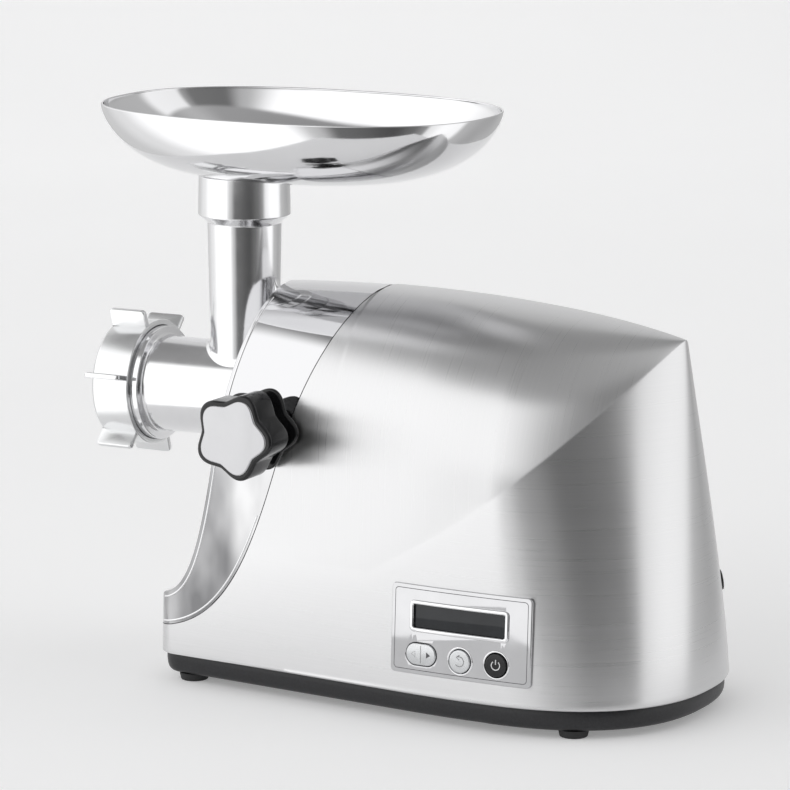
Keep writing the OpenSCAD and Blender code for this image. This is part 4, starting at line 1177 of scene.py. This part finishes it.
# Brightness of the studio round the machine: (azimuth from -Y towards +X in degrees, brightness)
LOW_BAND = ((-180, 0.55), (-150, 0.58), (-120, 0.75), (-90, 1.00), (-62, 1.48), (-20, 1.50), (-6, 0.70), (6, 0.18),
            (45, 0.10), (62, 0.18), (76, 0.34), (82, 1.10), (100, 1.36), (122, 1.30), (134, 0.60), (160, 0.48))
MIDDLE_BAND = ((-180, 0.55), (-140, 0.75), (-110, 1.15), (-70, 1.48), (-6, 1.46), (18, 0.60),
               (34, 0.20), (66, 0.22), (76, 0.40), (84, 1.15), (122, 1.20), (138, 0.60))
HIGH_BAND = ((-180, 0.36), (-120, 0.30), (-60, 0.34), (-20, 0.38), (40, 0.42), (90, 0.60), (140, 0.42))
# A colour ramp holds values up to 1, so that brightness is divided by this and multiplied afterwards
BAND_SCALE = 1.6


def studio_world():
    """Soft light from all round: three bands of brightness, blended by height."""
    world = bpy.data.worlds.new("studio")
    bpy.context.scene.world = world
    world.use_nodes = True
    tree = world.node_tree
    background = tree.nodes["Background"]
    coord = node(tree, "ShaderNodeTexCoord")
    axes = node(tree, "ShaderNodeSeparateXYZ")
    tree.links.new(coord.outputs["Generated"], axes.inputs[0])

    def maths(operation, a, b):
        m = node(tree, "ShaderNodeMath", operation=operation)
        for k, value in enumerate((a, b)):
            if isinstance(value, (int, float)):
                m.inputs[k].default_value = value
            else:
                tree.links.new(value, m.inputs[k])
        return m.outputs[0]

    around = maths("ARCTAN2", axes.outputs["X"], maths("MULTIPLY", axes.outputs["Y"], -1.0))
    turn = maths("ADD", maths("DIVIDE", around, 2 * pi), 0.5)

    def band(stops):
        ramp = node(tree, "ShaderNodeValToRGB")
        ramp.color_ramp.interpolation = "EASE"
        elements = ramp.color_ramp.elements
        stops = list(stops) + [(180, stops[0][1])]
        while len(elements) < len(stops):
            elements.new(0.5)
        for element, (az, value) in zip(elements, stops):
            element.position = (az + 180) / 360
            element.color = (value / BAND_SCALE,) * 3 + (1,)
        tree.links.new(turn, ramp.inputs["Fac"])
        return maths("MULTIPLY", ramp.outputs["Color"], BAND_SCALE)

    def smooth(value, low, high):
        m = node(tree, "ShaderNodeMapRange", interpolation_type="SMOOTHSTEP")
        m.inputs["From Min"].default_value = low
        m.inputs["From Max"].default_value = high
        tree.links.new(value, m.inputs["Value"])
        return m.outputs["Result"]

    def mixed(low, high, start, end):
        """Goes from one band to another between two elevations in degrees."""
        part = smooth(axes.outputs["Z"], sin(radians(start)), sin(radians(end)))
        return maths("ADD", maths("MULTIPLY", low, maths("SUBTRACT", 1.0, part)), maths("MULTIPLY", high, part))

    total = mixed(band(LOW_BAND), band(MIDDLE_BAND), -2, 10)
    total = mixed(total, band(HIGH_BAND), 46, 53)
    tree.links.new(total, background.inputs["Strength"])
    background.inputs["Color"].default_value = (1, 1, 1, 1)


studio_world()

camera_data = bpy.data.cameras.new("camera")
camera_data.lens = CAMERA_LENS
camera_data.sensor_width = 36
camera_data.clip_end = 50
camera = link_object("camera", camera_data)
camera.location = Vector(CAMERA_PLACE) + Vector(ORIGIN)
camera.rotation_euler = (radians(CAMERA_TILT), 0, radians(CAMERA_TURN))
bpy.context.scene.camera = camera

bpy.context.scene.view_settings.view_transform = "Standard"
